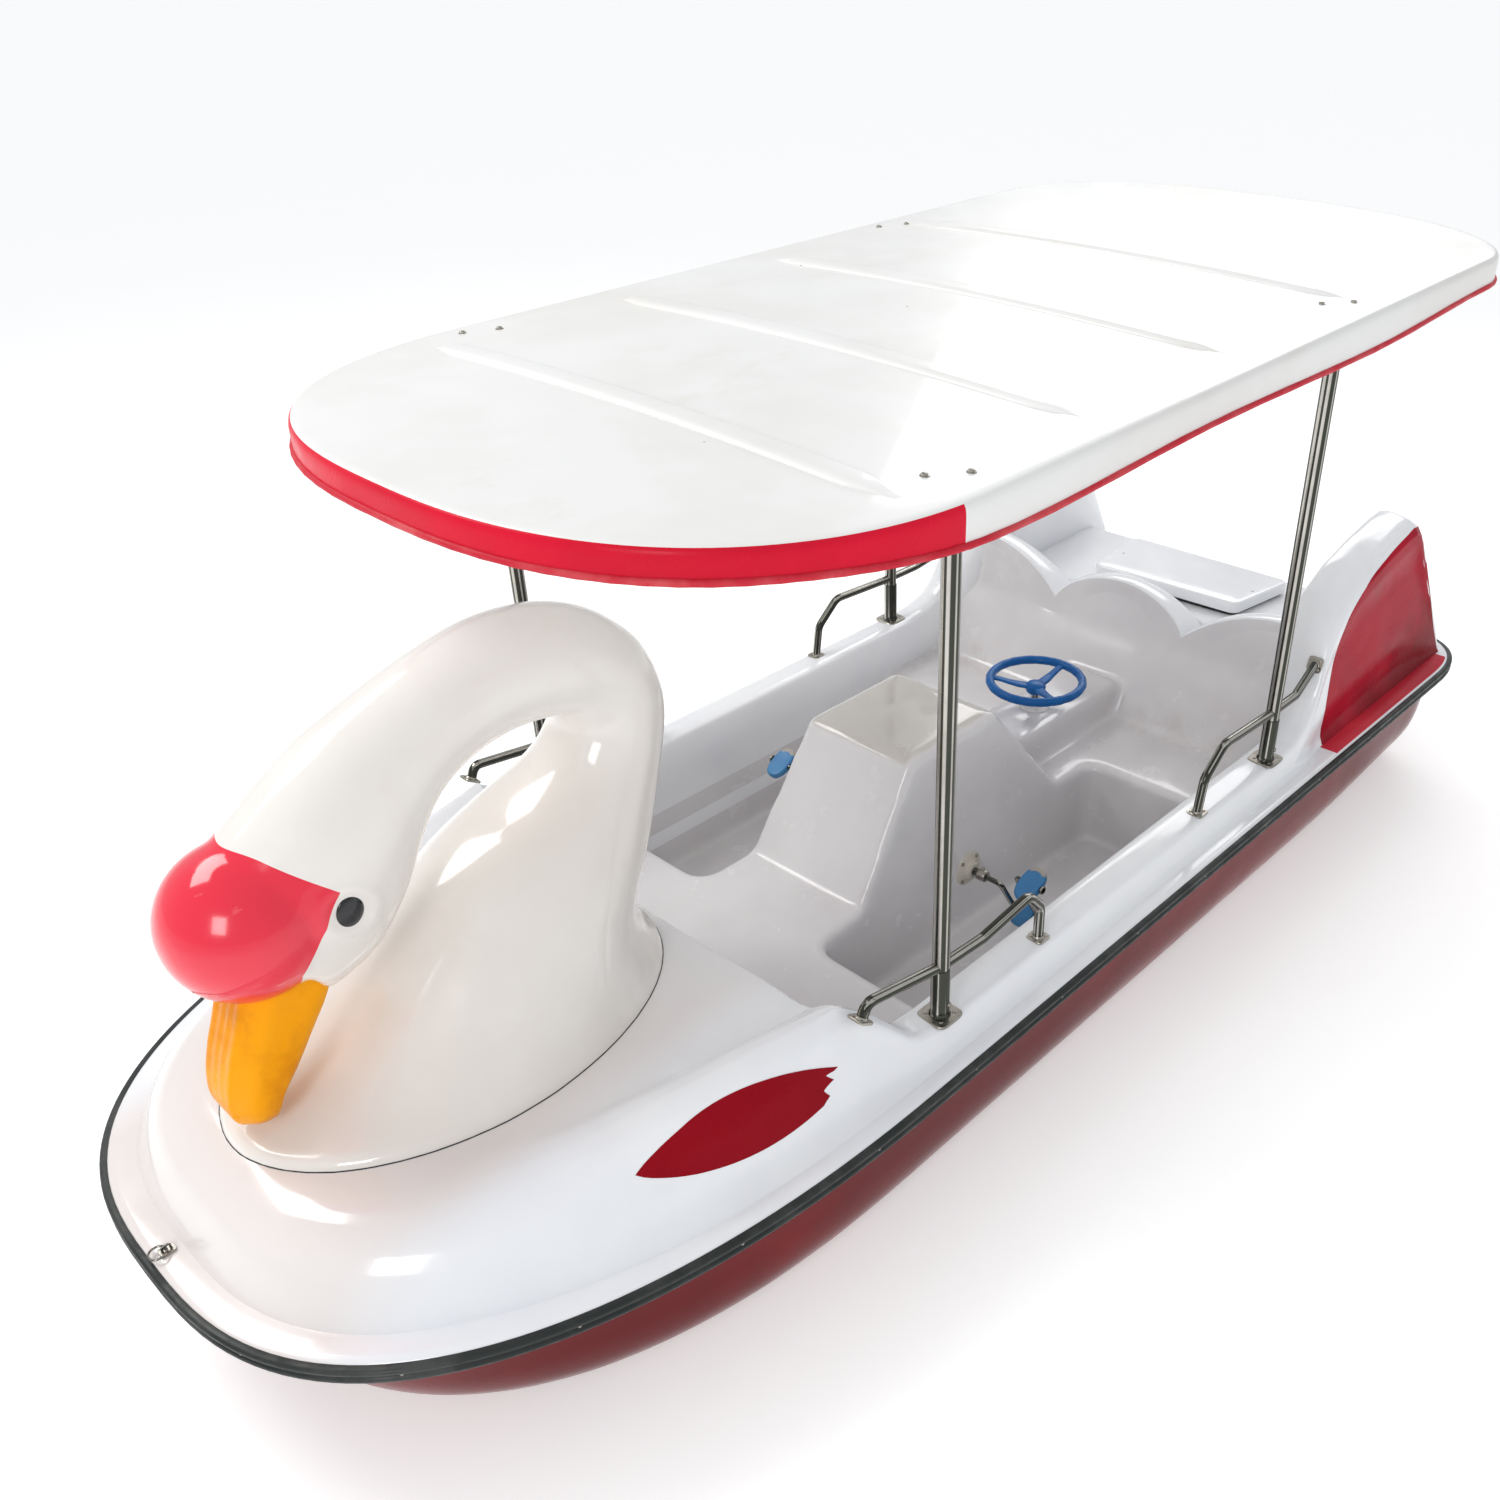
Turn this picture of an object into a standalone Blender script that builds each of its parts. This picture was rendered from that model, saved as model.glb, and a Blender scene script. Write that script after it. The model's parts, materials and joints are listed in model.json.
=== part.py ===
"""Swan pedal boat for four people: glass-fibre hull and deck mouldings, a swan figure on the foredeck,
a canopy on four poles, a paddle wheel turned by two pairs of pedals, and a hand-steered rudder.

World frame: metres, +X to port, the bow towards -Y, +Z up, z = 0 under the flat bottom.

The outlines are drawn in "units" of half the spacing between the canopy poles, from a drawing origin
midway between the front poles on the side deck. world() turns a drawn point into metres.
"""

import math

import bmesh
import bpy
from mathutils import Matrix, Vector

# ---------------------------------------------------------------- driving dimensions
UNIT = 0.70                # metres in one drawing unit: half the pole spacing across the boat
MIDDLE_Y = 0.89            # drawing y of the middle of the boat's length
KEEL_Z = -0.66             # drawing z of the flat bottom
GAP = 0.0003               # clearance between touching pieces, metres
LAMINATE = 0.006           # thickness of the glass-fibre mouldings, metres

# Rim of the boat in plan, drawing units
RIM_HALF = 1.14            # half width of the deck and hull flanges
RIM_BOW = -2.05            # y of the flange at the bow
RIM_STERN = 3.83           # y of the flange at the stern
BOW_STEPS = 12
STERN_STEPS = 6
BOW_START = -0.16          # y where the sides begin to close towards the bow
STERN_START = 3.40         # y where the stern corners begin
RIM_Z = -0.12              # top of the flange
RAIL_DEPTH = 0.018         # how far the rubbing strip stands out

# Deck
CREST_AFT = 0.22           # height of the shoulder where the foredeck meets the cockpit
DECK_Z = 0.115             # centre of the foredeck
COCKPIT_FRONT = -0.36      # y of the foredeck's rear edge
WELL_HALF = 0.885          # half width between the cockpit's side walls
SEAT_Z = -0.20             # top of both benches
FLOOR_Z = -0.585           # footwell floors
FRONT_SEAT_EDGE = 0.15     # y of the front bench's rear edge
REAR_SEAT_EDGE = 1.84      # y of the rear bench's front edge
STEM_HALF = 0.31           # half width of the benches' tongues beside the paddle box
WING_FRONT = 2.41          # y where the tail wings begin

# Paddle box: a tapered box over the paddle wheel
BOX_TOP_Z = 0.285
BOX_TOP_Y = (0.726, 1.227)
BOX_FOOT_Y = (0.41, 1.62)
BOX_HALF = (0.265, 0.305)  # half width at the top and at the foot

# Drive
CRANK_Y = 1.03
CRANK_Z = -0.33
CRANK_THROW = 0.115        # metres
CRANK_LEAN = math.radians(31.0)
AXLE_RADIUS = 0.0125       # metres
CRANK_RADIUS = 0.008       # metres
PEDAL_SIZE = (0.066, 0.105, 0.022)
PEDAL_X = (0.371, 0.463)   # metres, inner and outer pedal
WHEEL_RADIUS = 0.222       # metres, paddle wheel
WHEEL_WIDTH = 0.27         # metres
BLADES = 6

# Steering
HELM_Y = 1.855
HELM_Z = 0.084
HELM_RADIUS = 0.139        # metres, to the middle of the rim tube
HELM_TUBE = 0.0135         # metres
PEDESTAL_HALF = 0.14
PEDESTAL_Z = -0.045
ARM_LENGTH = 0.11          # metres, steering arm and tiller
ARM_Z = -0.30
RUDDER_Y = 3.42
RECESS_HALF = 0.20         # half width of the rudder's recess
RECESS_FRONT = 3.30
RECESS_ROOF = -0.43
ROD_RADIUS = 0.005         # metres

# Canopy
POLE_Y = (0.0, 2.038)
POLE_RADIUS = 0.019        # metres
RAIL_RADIUS = 0.0125       # metres
CANOPY_HALF = 1.125
CANOPY_BOW = -0.99
CANOPY_STERN = 3.43
CANOPY_FRONT_Z = 1.715
CANOPY_REAR_Z = 1.810


def clear_scene():
    for obj in list(bpy.data.objects):
        bpy.data.objects.remove(obj, do_unlink=True)


def new_collection(name):
    collection = bpy.data.collections.new(name)
    bpy.context.scene.collection.children.link(collection)
    return collection


clear_scene()
BOAT = new_collection("swan_pedal_boat")
CUTTERS = new_collection("cutters")


# ---------------------------------------------------------------- materials
def material(name, colour, roughness, metallic=0.0):
    made = bpy.data.materials.new(name)
    made.use_nodes = True
    shader = made.node_tree.nodes["Principled BSDF"]
    shader.inputs["Base Color"].default_value = (*colour, 1.0)
    shader.inputs["Roughness"].default_value = roughness
    shader.inputs["Metallic"].default_value = metallic
    return made


WHITE = material("white_gelcoat", (0.83, 0.84, 0.86), 0.15)
LINER = material("liner_gelcoat", (0.70, 0.68, 0.70), 0.2)
RED = material("red_gelcoat", (0.35, 0.01, 0.015), 0.2)
YELLOW = material("beak_paint", (0.80, 0.28, 0.0), 0.35)
BLACK = material("black_rubber", (0.02, 0.022, 0.022), 0.6)
TRIM = material("red_trim", (0.60, 0.04, 0.05), 0.45)
STEEL = material("stainless_steel", (0.62, 0.60, 0.57), 0.22, 1.0)
GALVANISED = material("galvanised_steel", (0.45, 0.45, 0.43), 0.45, 1.0)
BLUE = material("blue_plastic", (0.01, 0.10, 0.33), 0.35)
NYLON = material("bearing_nylon", (0.75, 0.73, 0.66), 0.5)
EYE = material("eye_black", (0.01, 0.01, 0.012), 0.1)


# ---------------------------------------------------------------- helpers
def world(x, y, z):
    """A drawn point in metres."""
    return Vector((x * UNIT, (y - MIDDLE_Y) * UNIT, (z - KEEL_Z) * UNIT))


def blend(a, b, t):
    """a to b as t goes from 0 to 1, eased at both ends."""
    t = min(max(t, 0.0), 1.0)
    t = t * t * (3.0 - 2.0 * t)
    return a + (b - a) * t


def along(points, t):
    """The value at t on a polyline of (t, value) pairs, held at both ends."""
    if t <= points[0][0]:
        return points[0][1]
    for (t0, v0), (t1, v1) in zip(points, points[1:]):
        if t <= t1:
            return blend(v0, v1, (t - t0) / (t1 - t0))
    return points[-1][1]


def add_object(name, mesh, surface, collection=BOAT, smooth=True):
    obj = bpy.data.objects.new(name, mesh)
    collection.objects.link(obj)
    if surface:
        mesh.materials.append(surface)
    if smooth:
        mesh.shade_smooth()
        mesh.set_sharp_from_angle(angle=math.radians(35))
    return obj


def finish_mesh(name, bm, surface, collection=BOAT):
    bmesh.ops.recalc_face_normals(bm, faces=bm.faces)
    mesh = bpy.data.meshes.new(name)
    bm.to_mesh(mesh)
    bm.free()
    return add_object(name, mesh, surface, collection)


def grid_mesh(rows, closed_rows=False, closed_columns=False):
    """A bmesh of quads over rows of points. Rows and columns may close on themselves."""
    bm = bmesh.new()
    made = [[bm.verts.new(point) for point in row] for row in rows]
    row_pairs = list(zip(made, made[1:]))
    if closed_rows:
        row_pairs.append((made[-1], made[0]))
    for first, second in row_pairs:
        count = len(first)
        last = count if closed_columns else count - 1
        for i in range(last):
            j = (i + 1) % count
            bm.faces.new((first[i], first[j], second[j], second[i]))
    return bm, made


def solidify(obj, thickness=LAMINATE, offset=0.0):
    modifier = obj.modifiers.new("Solidify", "SOLIDIFY")
    modifier.thickness = thickness
    modifier.offset = offset


def boolean(obj, other, operation):
    modifier = obj.modifiers.new(operation.title(), "BOOLEAN")
    modifier.operation = operation
    modifier.object = other
    other.hide_render = True
    other.display_type = "WIRE"


def sheet(name, rows, surface):
    """An open moulded surface over rows of points, with its laminate thickness."""
    bm, _ = grid_mesh(rows)
    bmesh.ops.remove_doubles(bm, verts=bm.verts, dist=0.00005)
    obj = finish_mesh(name, bm, surface)
    solidify(obj)
    return obj


def loft(name, sections, surface, collection=BOAT):
    """A closed solid through closed sections, capped at both ends."""
    bm, made = grid_mesh(sections, closed_columns=True)
    bm.faces.new(made[0])
    bm.faces.new(made[-1])
    return finish_mesh(name, bm, surface, collection)


def ring(name, sections, surface):
    """A closed band through sections that come back to the first."""
    bm, _ = grid_mesh(sections, closed_rows=True, closed_columns=True)
    return finish_mesh(name, bm, surface)


def block(name, low, high, surface=None, collection=BOAT):
    """A box between two corners in metres."""
    bm = bmesh.new()
    bmesh.ops.create_cube(bm, size=1.0)
    low = Vector(low)
    high = Vector(high)
    size = high - low
    scale = Matrix.Diagonal((*size, 1.0))
    bmesh.ops.transform(bm, matrix=Matrix.Translation((low + high) / 2) @ scale, verts=bm.verts)
    return finish_mesh(name, bm, surface, collection)


def cylinder(name, start, end, radius, surface=None, collection=BOAT, sides=20, end_radius=None):
    """A cylinder or cone between two points in metres."""
    start = Vector(start)
    end = Vector(end)
    direction = end - start
    turn = direction.to_track_quat("Z", "Y").to_matrix().to_4x4()
    bm = bmesh.new()
    bmesh.ops.create_cone(
        bm,
        cap_ends=True,
        segments=sides,
        radius1=radius,
        radius2=radius if end_radius is None else end_radius,
        depth=direction.length,
        matrix=Matrix.Translation((start + end) / 2) @ turn,
    )
    return finish_mesh(name, bm, surface, collection)


def turned(name, profile, place, surface, steps=24):
    """A turned solid: profile is (radius, height) from the top of its outer side down and back up inside.

    It stands on Z at the place given, in metres."""
    mesh = bpy.data.meshes.new(name)
    count = len(profile)
    points = [(radius, 0.0, height) for radius, height in profile]
    edges = [(i, i + 1) for i in range(count - 1)]
    if profile[0][0] > 0.0:
        edges.append((count - 1, 0))
    mesh.from_pydata(points, edges, [])
    obj = add_object(name, mesh, surface, smooth=False)
    obj.location = place
    screw = obj.modifiers.new("Screw", "SCREW")
    screw.axis = "Z"
    screw.steps = steps
    screw.render_steps = steps
    screw.use_merge_vertices = True
    screw.merge_threshold = 0.00001
    screw.use_normal_calculate = True
    return obj


def rounded_path(points, radius, steps=4):
    """A path through corner points whose corners are arcs of the given radius."""
    path = [Vector(points[0])]
    for before, corner, after in zip(points, points[1:], points[2:]):
        corner = Vector(corner)
        back = (Vector(before) - corner).normalized()
        ahead = (Vector(after) - corner).normalized()
        half = back.angle(ahead) / 2
        reach = radius / math.tan(half)
        centre = corner + (back + ahead).normalized() * radius / math.sin(half)
        start = corner + back * reach - centre
        end = corner + ahead * reach - centre
        for step in range(steps + 1):
            path.append(centre + start.slerp(end, step / steps).normalized() * radius)
    path.append(Vector(points[-1]))
    return path


def bar(name, path, radius, surface, resolution=2, cyclic=False):
    """A round bar or tube along a path in metres, as a mesh with welded caps."""
    data = bpy.data.curves.new(name, "CURVE")
    data.dimensions = "3D"
    data.bevel_depth = radius
    data.bevel_resolution = resolution
    data.use_fill_caps = True
    spline = data.splines.new("POLY")
    spline.points.add(len(path) - 1)
    for point, place in zip(spline.points, path):
        point.co = (*place, 1.0)
    spline.use_cyclic_u = cyclic
    curve = bpy.data.objects.new(name + "_curve", data)
    BOAT.objects.link(curve)
    bpy.context.view_layer.update()
    graph = bpy.context.evaluated_depsgraph_get()
    mesh = bpy.data.meshes.new_from_object(curve.evaluated_get(graph))
    bm = bmesh.new()
    bm.from_mesh(mesh)
    bmesh.ops.remove_doubles(bm, verts=bm.verts, dist=0.00001)
    bmesh.ops.recalc_face_normals(bm, faces=bm.faces)
    bm.to_mesh(mesh)
    bm.free()
    mesh.name = name
    bpy.data.objects.remove(curve)
    return add_object(name, mesh, surface)


def plate(name, outline, low, high, surface):
    """A flat plate: an (x, y) outline in metres between two heights."""
    lower = [Vector((x, y, low)) for x, y in outline]
    upper = [Vector((x, y, high)) for x, y in outline]
    return loft(name, [lower, upper], surface)


def round_corners(corners, radius, steps=3):
    """A closed (x, y) outline whose corners are arcs, all in the caller's units."""
    count = len(corners)
    outline = []
    for i, corner in enumerate(corners):
        before = corners[i - 1]
        after = corners[(i + 1) % count]
        path = rounded_path([(*before, 0.0), (*corner, 0.0), (*after, 0.0)], radius, steps)
        outline += [(point.x, point.y) for point in path[1:-1]]
    return outline


def move_origin(obj, place):
    """Puts the object's origin at a point without moving its shape."""
    place = Vector(place)
    obj.data.transform(Matrix.Translation(-place))
    obj.location = place


# ---------------------------------------------------------------- plan outlines
def bow_points(half, bow, start, steps, squareness=(2.35, 2.75)):
    """The port half of a rounded bow, from its tip to the widest station, without the tip itself."""
    length = start - bow
    points = []
    for step in range(1, steps + 1):
        angle = math.radians(90.0 * step / steps)
        x = half * math.sin(angle) ** (2.0 / squareness[1])
        y = start - length * max(math.cos(angle), 0.0) ** (2.0 / squareness[0])
        points.append((x, y))
    return points


def stern_points(half, stern, start, steps, squareness=(2.6, 7.0)):
    """The port half of the stern, from the side to just before the middle of the transom."""
    length = stern - start
    points = []
    for step in range(steps):
        angle = math.radians(90.0 * step / steps)
        x = half * math.cos(angle) ** (2.0 / squareness[1])
        y = start + length * math.sin(angle) ** (2.0 / squareness[0])
        points.append((x, y))
    return points


SIDE_STATIONS = (0.5, 1.3, 2.0, 2.6)


def port_outline(half, bow, stern):
    """Bow tip, port side and transom middle of a boat outline, from bow to stern."""
    points = [(0.0, bow)]
    points += bow_points(half, bow, BOW_START, BOW_STEPS)
    points += [(half, y) for y in SIDE_STATIONS]
    points += stern_points(half, stern, min(STERN_START, stern - 0.25), STERN_STEPS)
    points.append((0.0, stern))
    return points


def whole_outline(half, bow, stern):
    """The closed outline: down the port side, then up the starboard side."""
    port = port_outline(half, bow, stern)
    starboard = [(-x, y) for x, y in reversed(port[1:-1])]
    return port + starboard


# ---------------------------------------------------------------- hull
def bottom_rise(y):
    """How far the bottom sweeps up towards the transom."""
    return blend(0.0, 0.08, (y - 2.5) / 1.2)


def hull_form(name, rows, surface, collection):
    """The hull's surface through rows of points, with its flat bottom filled."""
    bm, made = grid_mesh(rows, closed_columns=True)
    keel = made[-1]
    count = len(keel)
    middle = count // 2
    bm.faces.new((keel[0], keel[1], keel[-1]))
    for i in range(1, middle - 1):
        bm.faces.new((keel[i], keel[i + 1], keel[count - i - 1], keel[count - i]))
    bm.faces.new((keel[middle - 1], keel[middle], keel[middle + 1]))
    return finish_mesh(name, bm, surface, collection)


def make_hull():
    """The red lower moulding: an outward flange, nearly upright sides, a bilge and a flat bottom."""
    # half width, bow y, stern y and height of each level, from the flange down
    levels = (
        (1.135, -2.04, 3.82, -0.134),
        (1.090, -1.995, 3.77, -0.142),
        (1.075, -1.93, 3.75, -0.30),
        (1.055, -1.84, 3.73, -0.48),
        (1.010, -1.71, 3.69, -0.60),
        (0.920, -1.52, 3.60, KEEL_Z + LAMINATE / UNIT / 2),
    )
    rows = []
    for half, bow, stern, z in levels:
        share = max(0.0, (-0.142 - z) / 0.513)
        outline = whole_outline(half, bow, stern)
        row = [world(x, y, z + share * bottom_rise(y)) for x, y in outline]
        for point in row:
            point.z = max(point.z, LAMINATE / 2)
        rows.append(row)
    hull = hull_form("hull_shell", rows, RED, BOAT)
    solidify(hull)
    slot_low = world(-0.262, BOX_FOOT_Y[0] + 0.03, KEEL_Z - 0.1)
    slot_high = world(0.262, BOX_FOOT_Y[1] - 0.03, KEEL_Z + 0.03)
    boolean(hull, block("tunnel_slot", slot_low, slot_high, None, CUTTERS), "DIFFERENCE")

    # The rudder's recess: a box let up into the stern, open below and aft
    body = hull_form("hull_body", rows[1:], None, CUTTERS)
    bm = bmesh.new()
    bm.from_mesh(body.data)
    bmesh.ops.contextual_create(bm, geom=[edge for edge in bm.edges if edge.is_boundary])
    bmesh.ops.recalc_face_normals(bm, faces=bm.faces)
    bm.to_mesh(body.data)
    bm.free()
    skin = Vector((LAMINATE, LAMINATE, LAMINATE))
    low = world(-RECESS_HALF, RECESS_FRONT, KEEL_Z - 0.1)
    high = world(RECESS_HALF, 4.0, RECESS_ROOF)
    liner = block("recess_liner", low - skin, high + skin, None, CUTTERS)
    boolean(liner, body, "INTERSECT")
    boolean(hull, liner, "UNION")
    boolean(hull, block("recess", low, high, None, CUTTERS), "DIFFERENCE")
    stock = world(0.0, RUDDER_Y, RECESS_ROOF)
    reach = Vector((0, 0, 0.02))
    boolean(hull, cylinder("stock_hole", stock - reach, stock + reach, 0.0215, None, CUTTERS), "DIFFERENCE")


def make_rubbing_strip():
    """A rubber strip round the joint of hull and deck, with two ribs."""
    inner = 0.004 / UNIT
    sections = []
    height = (-0.156, -0.132, -0.108)
    depth = ((inner, height[0]), (RAIL_DEPTH, height[0] + 0.008), (RAIL_DEPTH * 0.8, height[1]),
             (RAIL_DEPTH, height[2] - 0.008), (inner, height[2]))
    outlines = []
    for out, z in depth:
        outline = whole_outline(RIM_HALF + out, RIM_BOW - out, RIM_STERN + out)
        outlines.append([world(x, y, z) for x, y in outline])
    for points in zip(*outlines):
        sections.append(list(points))
    ring("rub_rail", sections, BLACK)


# ---------------------------------------------------------------- foredeck
def crest_inset(y):
    """Distance of the deck's crest in from the rim."""
    return along([(-1.6, 0.34), (-0.8, 0.31), (COCKPIT_FRONT, 0.22)], y)


def crest_height(y):
    return along([(-1.5, 0.105), (-0.95, 0.165), (COCKPIT_FRONT, CREST_AFT)], y)


def deck_profile(y):
    """(distance in from the rim, height) across the foredeck's edge, at a station y."""
    flange = along([(-1.7, 0.085), (-0.9, 0.06)], y)
    inset = crest_inset(y)
    crest = crest_height(y)
    valley = along([(-1.3, 0.11), (COCKPIT_FRONT, 0.13)], y)
    rise = inset - flange
    return [
        (0.0, RIM_Z),
        (0.012, RIM_Z + 0.013),
        (flange, RIM_Z + 0.016),
        (flange + rise * 0.12, -0.055),
        (flange + rise * 0.38, -0.055 + (crest + 0.055) * 0.62),
        (flange + rise * 0.70, -0.055 + (crest + 0.055) * 0.93),
        (inset, crest),
        (inset + 0.06, crest + (valley - crest) * 0.35),
        (inset + 0.14, valley),
    ]


def foredeck_row(x, y, spine_y, side):
    """One run of points from the rim at (x, y) in to the spine of the deck."""
    edge = Vector((x, y))
    spine = Vector((0.0, spine_y))
    length = (spine - edge).length
    inward = (spine - edge) / length
    row = []
    for distance, z in deck_profile(y):
        place = edge + inward * distance
        row.append(world(place.x * side, place.y, z))
    last = deck_profile(y)[-1]
    for share in (0.5, 1.0):
        place = edge + inward * (last[0] + (length - last[0]) * share)
        row.append(world(place.x * side, place.y, blend(last[1], DECK_Z, share * 1.2)))
    return row


def make_foredeck():
    """The bow deck, with its flange, crown, shoulders and the flat that carries the swan."""
    port = [(0.0, RIM_BOW)]
    port += bow_points(RIM_HALF, RIM_BOW, BOW_START, BOW_STEPS)
    port = [(x, y) for x, y in port if y < COCKPIT_FRONT - 0.12]
    port.append((RIM_HALF * 0.998, COCKPIT_FRONT))
    stations = [(x, y, 1.0) for x, y in reversed(port)]
    stations += [(x, y, -1.0) for x, y in port[1:]]
    rows = []
    for x, y, side in stations:
        spine_y = max(y, -1.15)
        rows.append(foredeck_row(x, y, spine_y, side))
    bm = bmesh.new()
    made = [[bm.verts.new(point) for point in row] for row in rows]
    for first, second in zip(made, made[1:]):
        for i in range(len(first) - 1):
            bm.faces.new((first[i], first[i + 1], second[i + 1], second[i]))
    bmesh.ops.remove_doubles(bm, verts=bm.verts, dist=0.0005)
    deck = finish_mesh("foredeck", bm, WHITE)
    solidify(deck)


# ---------------------------------------------------------------- cockpit
def shoulder_height(y):
    """Height of the side deck above its plateau: the shoulder in front and the sweep up to the wing aft."""
    front = along([(COCKPIT_FRONT, CREST_AFT - 0.01), (-0.12, 0.0)], y)
    aft = along([(2.11, 0.0), (2.30, 0.045), (WING_FRONT, 0.20)], y)
    return max(front, aft)


def side_deck_section(y, side):
    """The closed section of the side deck and the cockpit's side wall, from the rim inwards and down."""
    lift = shoulder_height(y)
    rim = RIM_HALF * 0.998
    skin = LAMINATE / UNIT
    outer = [
        (rim, RIM_Z),
        (rim - 0.012, RIM_Z + 0.013),
        (rim - 0.055, RIM_Z + 0.016),
        (rim - 0.075, -0.075),
        (1.035 - lift * 0.25, lift - 0.006),
        (1.015 - lift * 0.25, lift),
        (0.925, lift),
        (0.905, lift - 0.02),
        (WELL_HALF, -0.30),
        (WELL_HALF - 0.005, FLOOR_Z - 0.01),
    ]
    inner = [
        (WELL_HALF + 0.007, FLOOR_Z - 0.01),
        (WELL_HALF + 0.012, -0.30),
        (0.918, lift - 0.03),
        (0.932, lift - skin),
        (1.010 - lift * 0.25, lift - skin),
        (1.026 - lift * 0.25, lift - 0.014),
        (rim - 0.085, -0.082),
        (rim - 0.06, RIM_Z + 0.016 - skin),
        (rim - 0.012, RIM_Z + 0.013 - skin),
        (rim, RIM_Z - skin),
    ]
    return [world(x * side, y, z) for x, z in outer + inner]


def make_side_deck(name, side):
    stations = [COCKPIT_FRONT + 0.004, -0.30, -0.24, -0.18, -0.12, 0.4, 1.2, 2.11, 2.20, 2.30, 2.36,
                WING_FRONT - 0.004]
    loft(name, [side_deck_section(y, side) for y in stations], WHITE)


def bench_outline(edge, stem_edge, back):
    """The plan of a bench: full width at its back, with a tongue that reaches the paddle box."""
    half = WELL_HALF - 0.009
    corners = [
        (-half, back),
        (-half, edge),
        (-STEM_HALF, edge),
        (-STEM_HALF, stem_edge),
        (STEM_HALF, stem_edge),
        (STEM_HALF, edge),
        (half, edge),
        (half, back),
    ]
    return corners


def make_bench(name, edge, stem_edge, back):
    """A bench moulded as a deep tray upside down: a seat with walls to the floor, open below."""
    outline = bench_outline(edge, stem_edge, back)
    top = [world(x, y, SEAT_Z) for x, y in outline]
    foot = [world(x, y, FLOOR_Z - 0.01) for x, y in outline]
    bm, made = grid_mesh([top, foot], closed_columns=True)
    bm.faces.new(made[0])
    bench = finish_mesh(name, bm, LINER)
    solidify(bench, LAMINATE, -1.0)


def make_footwell_floor(name, side):
    low = world(0.316, FRONT_SEAT_EDGE + 0.004, FLOOR_Z - 0.012)
    high = world(WELL_HALF - 0.008, REAR_SEAT_EDGE - 0.004, FLOOR_Z)
    xs = sorted((low.x * side, high.x * side))
    block(name, (xs[0], low.y, low.z), (xs[1], high.y, high.z), LINER)


def make_front_backrest():
    """The upright panel between the foredeck's edge and the front bench."""
    half = WELL_HALF - 0.01
    rows = []
    for y, z in ((COCKPIT_FRONT + 0.012, 0.095), (COCKPIT_FRONT + 0.03, 0.03), (-0.31, -0.10),
                 (-0.295, SEAT_Z - 0.02), (-0.295, FLOOR_Z)):
        rows.append([world(x, y, z) for x in (-half, -half / 2, 0.0, half / 2, half)])
    sheet("front_backrest", rows, LINER)


def lip_height(x):
    """The scalloped top of the rear backrest: cusps either side of a middle arch."""
    x = abs(x)
    if x < 0.337:
        return 0.178 + 0.164 * (1.0 - (x / 0.337) ** 2) ** 0.72
    share = min(1.0, (x - 0.337) / 0.50)
    return 0.178 + 0.200 * (1.0 - (1.0 - share) ** 2.3)


def make_rear_backrest():
    """The reclined seat back, its scalloped lip and the slope behind the lip down to the rear deck."""
    columns = (-0.87, -0.76, -0.65, -0.5, -0.4, -0.337, -0.28, -0.18, -0.09, 0.0)
    columns = list(columns) + [-x for x in reversed(columns[:-1])]
    rows = []
    for x in columns:
        narrow = min(abs(x), 0.775) * math.copysign(1.0, x)
        crest = lip_height(x)
        rows.append([
            world(x, 2.262, SEAT_Z + 0.012),
            world(x, 2.31, -0.10),
            world(x, 2.385, 0.03),
            world(narrow, 2.398, 0.05),
            world(narrow, 2.44, 0.11),
            world(narrow, 2.475, crest - 0.03),
            world(narrow, 2.500, crest),
            world(narrow, 2.56, crest - 0.008),
            world(narrow, 2.63, 0.135),
        ])
    sheet("rear_backrest", rows, WHITE)


def make_paddle_box():
    """The tapered box over the paddle wheel, open to the water below."""
    foot_z = KEEL_Z + 0.02
    side_view = [
        (BOX_FOOT_Y[0], foot_z),
        (BOX_FOOT_Y[0], SEAT_Z),
        (BOX_TOP_Y[0], BOX_TOP_Z),
        (BOX_TOP_Y[1], BOX_TOP_Z),
        (BOX_FOOT_Y[1], SEAT_Z),
        (BOX_FOOT_Y[1], foot_z),
    ]

    def half_at(z):
        share = (BOX_TOP_Z - z) / (BOX_TOP_Z - foot_z)
        return BOX_HALF[0] + (BOX_HALF[1] - BOX_HALF[0]) * share

    bm = bmesh.new()
    port = [bm.verts.new(world(half_at(z), y, z)) for y, z in side_view]
    starboard = [bm.verts.new(world(-half_at(z), y, z)) for y, z in side_view]
    bm.faces.new(port)
    bm.faces.new(starboard)
    for i in range(len(side_view) - 1):
        bm.faces.new((port[i], port[i + 1], starboard[i + 1], starboard[i]))
    box = finish_mesh("paddle_box", bm, LINER)
    solidify(box, LAMINATE, -1.0)
    axis = world(0.0, CRANK_Y, CRANK_Z)
    reach = Vector((0.4, 0, 0))
    boolean(box, cylinder("axle_holes", axis - reach, axis + reach, 0.024, None, CUTTERS), "DIFFERENCE")


def make_pedestal():
    """The low box on the rear bench that carries the helm."""
    front = BOX_FOOT_Y[1] + 0.012
    back = 2.235
    half = PEDESTAL_HALF
    corners = [(-half, front), (half, front), (half, back), (-half, back)]
    top = [world(x * 0.93, y, PEDESTAL_Z) for x, y in corners]
    foot = [world(x, y, SEAT_Z + 0.004) for x, y in corners]
    bm, made = grid_mesh([top, foot], closed_columns=True)
    bm.faces.new(made[0])
    pedestal = finish_mesh("helm_pedestal", bm, LINER)
    solidify(pedestal, LAMINATE, -1.0)


# ---------------------------------------------------------------- stern
def rear_deck_outline():
    return stern_points(RIM_HALF, RIM_STERN, STERN_START, STERN_STEPS) + [(0.0, RIM_STERN)]


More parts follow.
